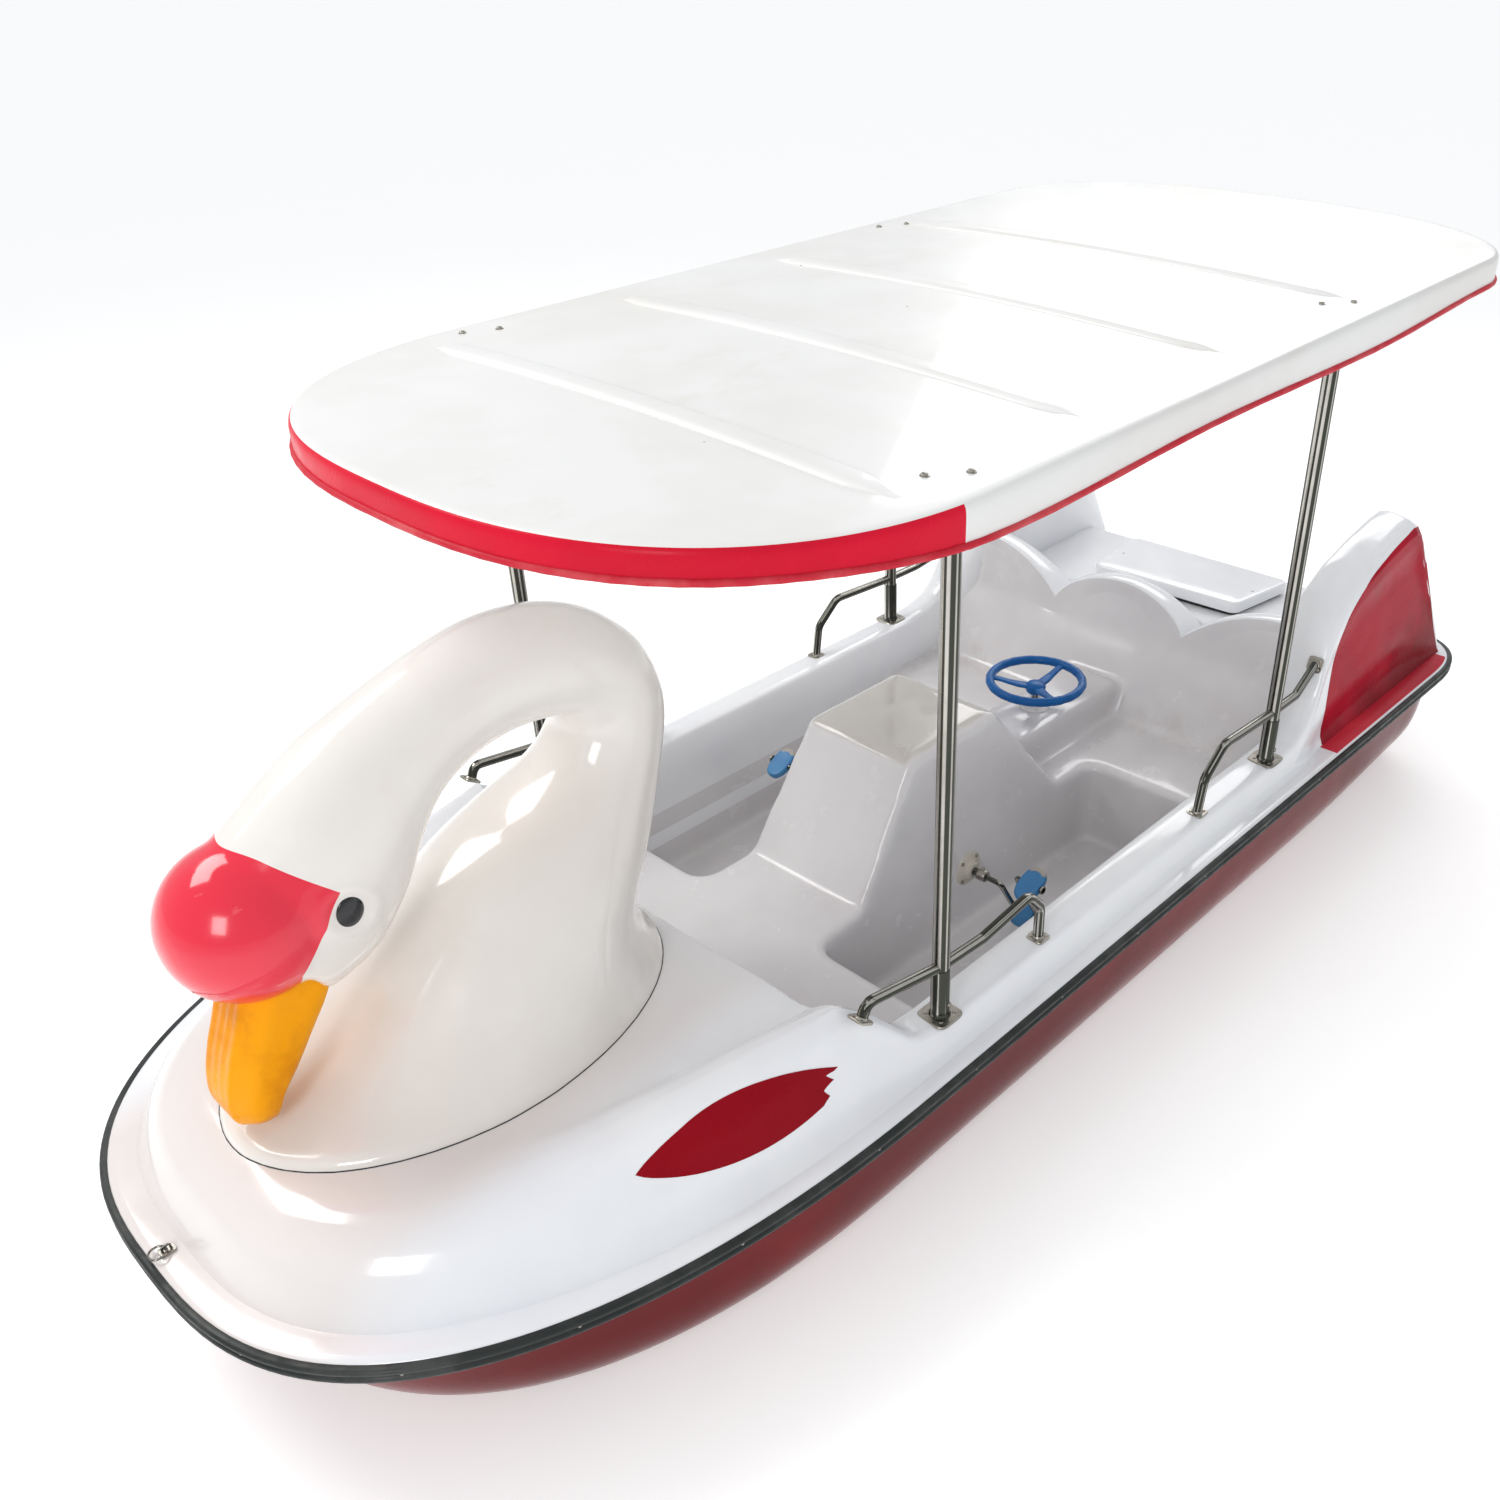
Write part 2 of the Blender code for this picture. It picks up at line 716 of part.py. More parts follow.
def make_rear_deck():
    """The stern flange in a U and the raised deck between the wings."""
    outer = [(RIM_HALF * 0.998, WING_FRONT)] + rear_deck_outline()
    outer += [(-x, y) for x, y in reversed(outer[:-1])]
    inner = [(-0.70, WING_FRONT), (-0.70, 3.36), (0.70, 3.36), (0.70, WING_FRONT)]
    outline = outer + inner
    skin = LAMINATE / UNIT
    lower = [world(x, y, RIM_Z - skin) for x, y in outline]
    upper = [world(x, y, RIM_Z + 0.004) for x, y in outline]
    flange = loft("rear_deck", [lower, upper], WHITE)

    half = 0.765
    front = 2.66
    back = 3.42
    foot = RIM_Z - 0.002
    corners = round_corners([(-half, front), (half, front), (half, back), (-half, back)], 0.06, 2)
    aft = back - 0.05
    top_corners = [(-half + 0.02, front), (half - 0.02, front), (half - 0.03, aft), (-half + 0.03, aft)]
    top_corners = round_corners(top_corners, 0.06, 2)
    top = [world(x, y, 0.13) for x, y in top_corners]
    base = [world(x, y, foot) for x, y in corners]
    bm, made = grid_mesh([top, base], closed_columns=True)
    bm.faces.new(made[0])
    raised = finish_mesh("raised_deck", bm, WHITE, CUTTERS)
    solidify(raised, LAMINATE, -1.0)
    boolean(flange, raised, "UNION")
    mouth = block("hatch_mouth", world(-0.28, 2.93, 0.05), world(0.28, 3.22, 0.2), None, CUTTERS)
    boolean(flange, mouth, "DIFFERENCE")


def make_hatch():
    """The tapered lid over the steering gear."""
    z0 = 0.13 + 0.0005 / UNIT
    z1 = 0.195
    foot = [(-0.40, 2.78), (0.40, 2.78), (0.44, 3.30), (-0.44, 3.30)]
    top = [(-0.36, 2.87), (0.36, 2.87), (0.41, 3.27), (-0.41, 3.27)]
    foot = round_corners(foot, 0.03, 2)
    top = round_corners(top, 0.03, 2)
    loft("hatch_cover", [[world(x, y, z0) for x, y in foot], [world(x, y, z1) for x, y in top]], WHITE)
    for side, name in ((1, "hatch_screw_port"), (-1, "hatch_screw_starboard")):
        head = world(0.345 * side, 3.06, z1)
        cylinder(name, head + Vector((0, 0, GAP)), head + Vector((0, 0, 0.002)), 0.005, STEEL, sides=12)


WING_PROFILE = (
    (WING_FRONT, RIM_Z + 0.012), (2.41, 0.10), (2.43, 0.24), (2.47, 0.36), (2.56, 0.475), (2.74, 0.565),
    (2.95, 0.615), (3.14, 0.648), (3.22, 0.655), (3.27, 0.63), (3.475, 0.26), (3.63, -0.04),
    (3.62, RIM_Z + 0.012),
)


def make_wing(name, side):
    """A tail wing: a hollow moulding that leans in as it rises, open below."""
    def outer_x(z):
        return 1.045 - 0.11 * (z + 0.1)

    def inner_x(z):
        return 0.785 + 0.01 * z

    bm = bmesh.new()
    outer = [bm.verts.new(world(outer_x(z) * side, y, z)) for y, z in WING_PROFILE]
    inner = [bm.verts.new(world(inner_x(z) * side, y, z)) for y, z in WING_PROFILE]
    bm.faces.new(outer)
    bm.faces.new(inner)
    for i in range(len(WING_PROFILE) - 1):
        bm.faces.new((outer[i], outer[i + 1], inner[i + 1], inner[i]))
    wing = finish_mesh(name, bm, WHITE)
    solidify(wing, LAMINATE, -1.0)


# ---------------------------------------------------------------- swan
# Sections of the breast from the base up: front point, rear point (y, z on the centre plane), half width
BREAST_SECTIONS = (
    ((-1.76, 0.128), (-0.370, 0.128), 0.493),
    ((-1.70, 0.143), (-0.405, 0.170), 0.477),
    ((-1.60, 0.175), (-0.435, 0.225), 0.452),
    ((-1.47, 0.245), (-0.450, 0.300), 0.415),
    ((-1.34, 0.345), (-0.420, 0.390), 0.365),
    ((-1.20, 0.470), (-0.345, 0.490), 0.315),
    ((-1.05, 0.600), (-0.285, 0.600), 0.262),
    ((-0.90, 0.665), (-0.245, 0.700), 0.222),
    ((-0.76, 0.705), (-0.218, 0.790), 0.195),
    ((-0.64, 0.775), (-0.208, 0.870), 0.178),
)
# Sections of the neck and head: centre (y, z), angle of the depth above +Y in degrees, half depth, half width
NECK_SECTIONS = (
    (-0.389, 0.905, 12.0, 0.176, 0.172),
    (-0.420, 1.000, 21.0, 0.173, 0.172),
    (-0.480, 1.060, 37.0, 0.171, 0.171),
    (-0.555, 1.103, 54.0, 0.171, 0.171),
    (-0.665, 1.132, 74.0, 0.168, 0.168),
    (-0.800, 1.134, 90.0, 0.165, 0.165),
    (-0.900, 1.115, 98.0, 0.163, 0.164),
    (-0.995, 1.085, 106.0, 0.166, 0.167),
    (-1.095, 1.038, 115.0, 0.180, 0.176),
    (-1.190, 0.972, 122.0, 0.212, 0.190),
    (-1.275, 0.888, 126.0, 0.246, 0.200),
    (-1.350, 0.815, 126.0, 0.264, 0.203),
    (-1.420, 0.755, 122.0, 0.265, 0.199),
    (-1.500, 0.700, 119.0, 0.242, 0.185),
)
HEAD_SECTIONS = 6          # how many of them belong to the head
SWAN_SIDES = 18
KNOB_CENTRE = (-1.560, 0.757)
KNOB_RADIUS = 0.213


def swan_ring(section, grow=0.0):
    """One oval section of the neck or head, grown by a clearance."""
    centre_y, centre_z, lean, depth, width = section
    lean = math.radians(lean)
    points = []
    for i in range(SWAN_SIDES):
        angle = 2.0 * math.pi * i / SWAN_SIDES
        out = -(depth + grow) * math.cos(angle)
        across = (width + grow) * math.sin(angle)
        points.append(world(across, centre_y + out * math.cos(lean), centre_z + out * math.sin(lean)))
    return points


def breast_ring(section):
    """One oval section of the breast, from its front and rear points."""
    (front_y, front_z), (rear_y, rear_z), half = section
    lean = math.degrees(math.atan2(rear_z - front_z, rear_y - front_y))
    depth = math.hypot(rear_y - front_y, rear_z - front_z) / 2
    return swan_ring(((front_y + rear_y) / 2, (front_z + rear_z) / 2, lean, depth, half))


def head_form(name, grow):
    """The solid form of the swan's head, grown by a clearance in metres."""
    rows = [swan_ring(section, grow / UNIT) for section in NECK_SECTIONS[-HEAD_SECTIONS:]]
    return loft(name, rows, None, CUTTERS)


def knob_form(name, grow):
    """The round knob on the swan's forehead, grown by a clearance in metres."""
    bm = bmesh.new()
    bmesh.ops.create_uvsphere(bm, u_segments=18, v_segments=10, radius=1.0)
    size = Matrix.Scale(KNOB_RADIUS * UNIT + grow, 4)
    place = Matrix.Translation(world(0.0, *KNOB_CENTRE))
    bmesh.ops.transform(bm, matrix=place @ size, verts=bm.verts)
    return finish_mesh(name, bm, RED, CUTTERS)


def make_swan():
    """The neck, head and forehead knob in one moulding, open where it stands on the deck."""
    rows = [breast_ring(section) for section in BREAST_SECTIONS]
    rows += [swan_ring(section) for section in NECK_SECTIONS]
    bm, made = grid_mesh(rows, closed_columns=True)
    bm.faces.new(made[-1])
    swan = finish_mesh("swan_figure", bm, WHITE)
    solidify(swan, LAMINATE, -1.0)
    boolean(swan, knob_form("knob_form", 0.0), "UNION")


def make_beak():
    """The flat-topped beak, hanging from under the knob towards the breast, fitted to the head."""
    # front point, back point (y, z) and half width, from the root to the tip
    stations = (
        ((-1.650, 0.600), (-1.440, 0.550), 0.128),
        ((-1.690, 0.500), (-1.475, 0.470), 0.130),
        ((-1.735, 0.390), (-1.535, 0.360), 0.128),
        ((-1.757, 0.300), (-1.600, 0.285), 0.116),
        ((-1.750, 0.225), (-1.660, 0.215), 0.096),
        ((-1.730, 0.183), (-1.690, 0.181), 0.066),
    )
    rows = []
    for (front_y, front_z), (back_y, back_z), half in stations:
        corners = ((0.0, -0.75), (0.22, -1.0), (1.0, -0.85), (1.0, 0.85), (0.22, 1.0), (0.0, 0.75))
        row = []
        for share, width in corners:
            y = front_y + (back_y - front_y) * share
            z = front_z + (back_z - front_z) * share
            row.append(world(half * width, y, z))
        rows.append(row)
    beak = loft("swan_beak", rows, YELLOW)
    boolean(beak, knob_form("beak_seat_knob", 0.0006), "DIFFERENCE")
    boolean(beak, head_form("beak_seat_head", 0.0006), "DIFFERENCE")


def make_eye(name, side):
    """A domed eye seated on the side of the head."""
    centre = world(0.200 * side, -1.373, 0.772)
    bm = bmesh.new()
    bmesh.ops.create_uvsphere(bm, u_segments=16, v_segments=10, radius=1.0)
    turn = Vector((side, 0.12, -0.06)).to_track_quat("Z", "Y").to_matrix().to_4x4()
    size = Matrix.Diagonal((0.026, 0.031, 0.009, 1.0))
    bmesh.ops.transform(bm, matrix=Matrix.Translation(centre) @ turn @ size, verts=bm.verts)
    eye = finish_mesh(name, bm, EYE)
    boolean(eye, head_form(name + "_seat", 0.0003), "DIFFERENCE")


# ---------------------------------------------------------------- drive
def crank_point(x, throw):
    """A point in metres on the crank at a signed throw along the crank's lean."""
    axis = world(0.0, CRANK_Y, CRANK_Z)
    return Vector((x, axis.y - throw * math.sin(CRANK_LEAN), axis.z + throw * math.cos(CRANK_LEAN)))


def make_crankshaft():
    """The axle through the paddle wheel, and a bent crank pressed into each end."""
    ends = 0.275
    bore_depth = 0.035
    axis = world(0.0, CRANK_Y, CRANK_Z)
    reach = Vector((ends, 0, 0))
    axle = cylinder("paddle_axle", axis - reach, axis + reach, AXLE_RADIUS, STEEL)
    for side in (-1, 1):
        start = axis + Vector((side * (ends - bore_depth), 0, 0))
        end = axis + Vector((side * (ends + 0.01), 0, 0))
        bore = cylinder(f"socket_{side}", start, end, CRANK_RADIUS + GAP * 2, None, CUTTERS, sides=16)
        boolean(axle, bore, "DIFFERENCE")
    inner, outer = PEDAL_X
    web = (inner + outer) / 2
    reach = PEDAL_SIZE[0] / 2 + 0.013
    for side, name in ((1, "crank_port"), (-1, "crank_starboard")):
        corners = [
            crank_point(side * (ends - bore_depth + GAP), 0.0),
            crank_point(side * (inner - reach), 0.0),
            crank_point(side * (inner - reach), -CRANK_THROW),
            crank_point(side * web, -CRANK_THROW),
            crank_point(side * web, CRANK_THROW),
            crank_point(side * (outer + PEDAL_SIZE[0] / 2 + 0.008), CRANK_THROW),
        ]
        crank = bar(name, rounded_path(corners, 0.012, 3), CRANK_RADIUS, STEEL)
        move_origin(crank, axis)
    move_origin(axle, axis)


def make_pedal(name, x, throw):
    """A foot-shaped pedal with rounded ends, bored for its crank pin."""
    width, length, height = PEDAL_SIZE
    pin = crank_point(x, throw)
    bm = bmesh.new()
    outline = []
    for i in range(16):
        angle = 2.0 * math.pi * i / 16
        squared_x = math.copysign(abs(math.cos(angle)) ** 0.7, math.cos(angle))
        squared_y = math.copysign(abs(math.sin(angle)) ** 0.8, math.sin(angle))
        outline.append((width / 2 * squared_x, length / 2 * squared_y))
    levels = ((-height / 2, 0.90), (-height * 0.3, 1.0), (height * 0.3, 1.0), (height / 2, 0.90))
    rows = [[bm.verts.new((px * s, py * s, z)) for px, py in outline] for z, s in levels]
    for first, second in zip(rows, rows[1:]):
        for i in range(16):
            j = (i + 1) % 16
            bm.faces.new((first[i], first[j], second[j], second[i]))
    bm.faces.new(rows[0])
    bm.faces.new(rows[-1])
    tilt = Matrix.Rotation(math.radians(28.0), 4, "X")
    bmesh.ops.transform(bm, matrix=Matrix.Translation(pin) @ tilt, verts=bm.verts)
    pedal = finish_mesh(name, bm, BLUE)
    reach = Vector((width, 0, 0))
    bore = cylinder(name + "_bore", pin - reach, pin + reach, CRANK_RADIUS + 0.0006, None, CUTTERS, sides=12)
    boolean(pedal, bore, "DIFFERENCE")
    move_origin(pedal, pin)
    bore.parent = pedal
    bore.location = -pin


def make_paddle_wheel():
    """A hub with flat blades, all one moulding, keyed on the axle."""
    hub = 0.038
    half_blade = 0.005
    outline = []
    for blade in range(BLADES):
        angle = 2.0 * math.pi * blade / BLADES
        across = Matrix.Rotation(angle, 2)
        for radius, offset in ((hub, -half_blade), (WHEEL_RADIUS, -half_blade), (WHEEL_RADIUS, half_blade),
                               (hub, half_blade)):
            outline.append(across @ Vector((radius, offset)))
        middle = Matrix.Rotation(angle + math.pi / BLADES, 2)
        outline.append(middle @ Vector((hub, 0.0)))
    axis = world(0.0, CRANK_Y, CRANK_Z)
    rows = []
    for x in (-WHEEL_WIDTH / 2, WHEEL_WIDTH / 2):
        rows.append([axis + Vector((x, point.x, point.y)) for point in outline])
    wheel = loft("paddle_wheel", rows, GALVANISED)
    reach = Vector((WHEEL_WIDTH, 0, 0))
    bore = cylinder("wheel_bore", axis - reach, axis + reach, AXLE_RADIUS + GAP, None, CUTTERS)
    boolean(wheel, bore, "DIFFERENCE")


def make_bearing(name, side):
    """A flanged nylon bearing on the side of the paddle box."""
    wall = 0.297 * UNIT
    axis = world(0.0, CRANK_Y, CRANK_Z)
    bore = AXLE_RADIUS + 0.0005
    profile = [
        (0.024, 0.026), (0.024, 0.010), (0.046, 0.008), (0.050, 0.004), (0.050, 0.0),
        (bore, 0.0), (bore, 0.026),
    ]
    housing = turned(name, profile, axis + Vector((side * wall, 0, 0)), NYLON)
    housing.rotation_euler = (0.0, side * math.pi / 2, 0.0)


# ---------------------------------------------------------------- steering
def make_helm():
    """The blue steering wheel: a round rim, three spokes and a hub."""
    centre = world(0.0, HELM_Y, HELM_Z)
    path = []
    for i in range(28):
        angle = 2.0 * math.pi * i / 28
        path.append(centre + Vector((math.cos(angle), math.sin(angle), 0.0)) * HELM_RADIUS)
    rim = bar("steering_wheel", path, HELM_TUBE, BLUE, 1, cyclic=True)
    hub_low = centre - Vector((0, 0, 0.040))
    hub = cylinder("helm_hub", hub_low, centre - Vector((0, 0, 0.010)), 0.032, None, CUTTERS, 16, 0.026)
    boolean(rim, hub, "UNION")
    for i in range(3):
        angle = math.radians(90.0 + 120.0 * i)
        outward = Vector((math.cos(angle), math.sin(angle), 0.0))
        spoke = cylinder(f"helm_spoke_{i}", centre - Vector((0, 0, 0.024)) + outward * 0.012,
                         centre + outward * (HELM_RADIUS + 0.002), 0.011, None, CUTTERS, 8)
        boolean(rim, spoke, "UNION")
    bore = cylinder("helm_bore", hub_low - Vector((0, 0, 0.01)), hub_low + Vector((0, 0, 0.018)),
                    0.0103, None, CUTTERS, 16)
    boolean(rim, bore, "DIFFERENCE")
    shaft_top = hub_low + Vector((0, 0, 0.0175))
    shaft_end = world(0.0, HELM_Y, ARM_Z) - Vector((0, 0, 0.012))
    shaft = cylinder("steering_shaft", shaft_end, shaft_top, 0.010, STEEL, sides=16)
    for obj in (rim, shaft):
        move_origin(obj, centre)
    for cutter in (hub, bore):
        cutter.parent = rim
        cutter.location = -centre
    for i in range(3):
        spoke = bpy.data.objects[f"helm_spoke_{i}"]
        spoke.parent = rim
        spoke.location = -centre


def make_column():
    """The round boss on the pedestal that guides the steering shaft, and the holes for the shaft."""
    foot = world(0.0, HELM_Y, PEDESTAL_Z) + Vector((0, 0, GAP))
    turned("steering_column", [
        (0.020, 0.030), (0.024, 0.012), (0.042, 0.003), (0.042, 0.0), (0.0106, 0.0), (0.0106, 0.030),
    ], foot, NYLON, 20)
    shaft = world(0.0, HELM_Y, 0.0)
    hole = cylinder("shaft_hole", Vector((0, shaft.y, 0.2)), Vector((0, shaft.y, 0.5)), 0.014, None, CUTTERS)
    boolean(bpy.data.objects["helm_pedestal"], hole, "DIFFERENCE")
    boolean(bpy.data.objects["rear_bench"], hole, "DIFFERENCE")


def make_lever(name, pivot, shaft_radius):
    """A flat arm to port with a boss round its shaft and a pin for the link rod."""
    height = 0.008
    root = 0.022
    tip = 0.013
    outline = []
    for i in range(9):
        angle = math.pi / 2 + math.pi * i / 8
        outline.append((root * math.cos(angle), root * math.sin(angle)))
    for i in range(7):
        angle = -math.pi / 2 + math.pi * i / 6
        outline.append((ARM_LENGTH + tip * math.cos(angle), tip * math.sin(angle)))
    points = [(pivot.x + x, pivot.y + y) for x, y in outline]
    arm = plate(name, points, pivot.z - height / 2, pivot.z + height / 2, GALVANISED)
    reach = Vector((0, 0, 0.02))
    bore = cylinder(name + "_bore", pivot - reach, pivot + reach, shaft_radius + GAP, None, CUTTERS, 16)
    boolean(arm, bore, "DIFFERENCE")
    seat = pivot + Vector((ARM_LENGTH, 0, 0))
    pin = cylinder(name + "_pin", seat, seat + Vector((0, 0, 0.020)), 0.005, None, CUTTERS, 12)
    boolean(arm, pin, "UNION")


def make_linkage():
    """The arm under the helm, the tiller on the rudder stock, and the rod between them."""
    helm = world(0.0, HELM_Y, ARM_Z)
    stock = world(0.0, RUDDER_Y, ARM_Z)
    make_lever("steering_arm", helm, 0.010)
    make_lever("tiller_arm", stock, 0.0125)
    height = helm.z + 0.012
    start = Vector((ARM_LENGTH, helm.y, height))
    end = Vector((ARM_LENGTH, stock.y, height))
    body = bar("link_rod", [start + Vector((0, 0.012, 0)), end - Vector((0, 0.010, 0))], ROD_RADIUS, STEEL, 1)
    for place, name in ((start, "rod_eye_front"), (end, "rod_eye_rear")):
        half = Vector((0, 0, 0.006))
        eye = cylinder(name, place - half, place + half, 0.015, None, CUTTERS, 16)
        boolean(body, eye, "UNION")
    window = Vector((ARM_LENGTH, world(0.0, 2.30, 0.0).y, height))
    size = Vector((0.10, 0.03, 0.03))
    opening = block("rod_window", window - size, window + size, None, CUTTERS)
    boolean(bpy.data.objects["rear_bench"], opening, "DIFFERENCE")
    for place, name, radius in ((start, "rod_bore_front", 0.0055), (end, "rod_bore_rear", 0.0060)):
        reach = Vector((0, 0, 0.02))
        bore = cylinder(name, place - reach, place + reach, radius, None, CUTTERS, 12)
        boolean(body, bore, "DIFFERENCE")


def make_rudder():
    """The stock and its blade in one weldment, and the tube it turns in."""
    stock_foot = world(0.0, RUDDER_Y, -0.63)
    stock_top = world(0.0, RUDDER_Y, ARM_Z) + Vector((0, 0, 0.012))
    stock = cylinder("rudder", stock_foot, stock_top, 0.0125, GALVANISED)
    fore = RUDDER_Y - 0.06
    aft = RUDDER_Y + 0.24
    top = RECESS_ROOF - 0.02
    side_view = [(fore, top), (aft - 0.02, top), (aft, top - 0.04), (aft - 0.03, -0.62), (aft - 0.06, -0.645),
                 (fore + 0.03, -0.645), (fore, -0.61)]
    rows = [[world(x, y, z) for y, z in side_view] for x in (-0.008, 0.008)]
    boolean(stock, loft("rudder_blade", rows, None, CUTTERS), "UNION")
    foot = world(0.0, RUDDER_Y, RECESS_ROOF) - Vector((0, 0, 0.002))
    length = stock_top.z - 0.030 - foot.z
    turned("rudder_tube", [
        (0.021, length), (0.021, 0.020), (0.034, 0.014), (0.034, 0.0085), (0.021, 0.0085), (0.021, 0.0),
        (0.0133, 0.0), (0.0133, length),
    ], foot, NYLON, 20)


# ---------------------------------------------------------------- rails and poles
def make_rail(name, points, radius, foot, normal):
    """A bent stainless tube with a round flange welded on its foot.

    The points are in drawing units; the foot is one of its ends, where it stands on the deck."""
    path = rounded_path([world(*point) for point in points], radius, 4)
    rail = bar(name, path, RAIL_RADIUS, STEEL)
    normal = Vector(normal).normalized()
    base = world(*foot)
    flange = cylinder(name + "_flange", base, base + normal * 0.004, 0.024, None, CUTTERS, 16)
    boolean(rail, flange, "UNION")


def make_rails(side, label):
    """The four rail tubes of one side: ahead of and behind each pole."""
    skip = (POLE_RADIUS + 0.0035) / UNIT
    lift = 0.0004 / UNIT
    front, rear = POLE_Y
    foot = (side, -0.325, 0.203)
    make_rail(f"front_rail_fore_{label}",
              [(side, -0.3235, 0.206), (side, -0.300, 0.246), (side, front - skip, 0.192)],
              0.022, foot, (0.0, 0.51, 0.86))
    foot = (side, 0.51, lift)
    make_rail(f"front_rail_aft_{label}",
              [(side, front + skip, 0.190), (side, 0.20, 0.178), (side, 0.44, 0.205), (side, 0.51, 0.12),
               (side, 0.51, 0.004)],
              0.035, foot, (0.0, 0.0, 1.0))
    foot = (side, 1.517, lift)
    make_rail(f"rear_rail_fore_{label}",
              [(side, 1.5175, 0.0065), (side, 1.54, 0.14), (side, 1.66, 0.235), (side, rear - skip, 0.218)],
              0.045, foot, (0.0, 0.0, 1.0))
    inboard = side * 0.970
    foot = (inboard, 2.4235, 0.262)
    make_rail(f"rear_rail_aft_{label}",
              [(side, rear + skip, 0.216), (side, 2.22, 0.216), (inboard, 2.419, 0.261)],
              0.045, foot, (0.0, -1.0, 0.0))


def make_pole(name, side, y):
    """A canopy pole with a foot flange, and a top flange just under the roof."""
    foot = world(side, y, 0.0) + Vector((0, 0, GAP))
    length = canopy_top(side, y) * UNIT - LAMINATE - 0.0036
    turned(name, [
        (0.032, length), (0.032, length - 0.005), (POLE_RADIUS, length - 0.006), (POLE_RADIUS, 0.009),
        (0.024, 0.006), (0.044, 0.004), (0.044, 0.0), (0.0, 0.0), (0.0, length),
    ], foot, STEEL, 20)


# ---------------------------------------------------------------- canopy
def canopy_outline(inset=0.0):
    half = CANOPY_HALF - inset
    bow = CANOPY_BOW + inset
    stern = CANOPY_STERN - inset
    port = [(0.0, bow)]
    port += bow_points(half, bow, 0.0, 8, (2.1, 2.5))
    port += [(half, y) for y in (0.8, 1.7, 2.5)]
    port += stern_points(half, stern, 3.0, 5, (2.0, 3.6))
    port.append((0.0, stern))
    return port + [(-x, y) for x, y in reversed(port[1:-1])]


def canopy_height(y):
    return CANOPY_FRONT_Z + (CANOPY_REAR_Z - CANOPY_FRONT_Z) * (y - CANOPY_BOW) / (CANOPY_STERN - CANOPY_BOW)


def canopy_top(x, y):
    """The cambered top of the roof, which sits a little higher to starboard."""
    return canopy_height(y) + 0.035 * (1.0 - (x / CANOPY_HALF) ** 2) - 0.02 * x


def skirt_depth(y):
    """How far the roof's skirt hangs below its edge: deepest over the poles."""
    return along([(-0.6, 0.073), (0.2, 0.11), (1.0, 0.095), (2.1, 0.115), (3.0, 0.09)], y)


def make_canopy():
    """The roof moulding: a cambered top, a rounded edge and a skirt, with four raised ribs."""
    rows = []
    for inset, drop in ((0.0, 1.0), (0.0, 0.30), (0.03, 0.0), (0.25, 0.0), (0.6, 0.0)):
        row = []
        for x, y in canopy_outline(inset):
            z = canopy_top(x, y) - drop * skirt_depth(y)
            row.append(world(x, y, z))
        rows.append(row)
    bm, made = grid_mesh(rows, closed_columns=True)
    last = made[-1]
    count = len(last)
    middle = count // 2
    bm.faces.new((last[0], last[1], last[-1]))
    for i in range(1, middle - 1):
        bm.faces.new((last[i], last[i + 1], last[count - i - 1], last[count - i]))
    bm.faces.new((last[middle - 1], last[middle], last[middle + 1]))
    roof = finish_mesh("canopy_roof", bm, WHITE)
    solidify(roof, LAMINATE, -1.0)


def make_canopy_trim():
    """The rubber piping pushed on the skirt's lower edge."""
    path = []
    for x, y in canopy_outline():
        z = canopy_top(x, y) - skirt_depth(y) - 0.0105
        path.append(world(x, y, z))
    bar("canopy_edge_trim", path, 0.007, TRIM, 1, cyclic=True)


# ---------------------------------------------------------------- bow fittings
def make_tow_eye():
    """A pad eye on the bow flange and the ring that swings on it."""
    place = world(0.0, -2.003, RIM_Z + 0.016) + Vector((0, 0, LAMINATE / 2 + GAP))
    low = place - Vector((0.012, 0.016, 0.0))
    high = place + Vector((0.012, 0.016, 0.0025))
    pad = block("tow_pad_eye", low, high, STEEL)
    path = rounded_path([
        place + Vector((0.0, -0.008, 0.001)),
        place + Vector((0.0, -0.008, 0.013)),
        place + Vector((0.0, 0.008, 0.013)),
        place + Vector((0.0, 0.008, 0.001)),
    ], 0.005, 3)
    staple = bar("tow_staple", path, 0.0025, None, 1)
    BOAT.objects.unlink(staple)
    CUTTERS.objects.link(staple)
    boolean(pad, staple, "UNION")
    radius = 0.016
    pin = place + Vector((0.0, 0.0, 0.0072))
    centre = pin - Vector((0.0, radius, 0.0))
    ring_path = []
    for i in range(20):
        angle = 2.0 * math.pi * i / 20
        ring_path.append(centre + Vector((radius * math.cos(angle), radius * math.sin(angle), 0.0)))
    tow = bar("tow_ring", ring_path, 0.0022, STEEL, 1, cyclic=True)
    move_origin(tow, pin)


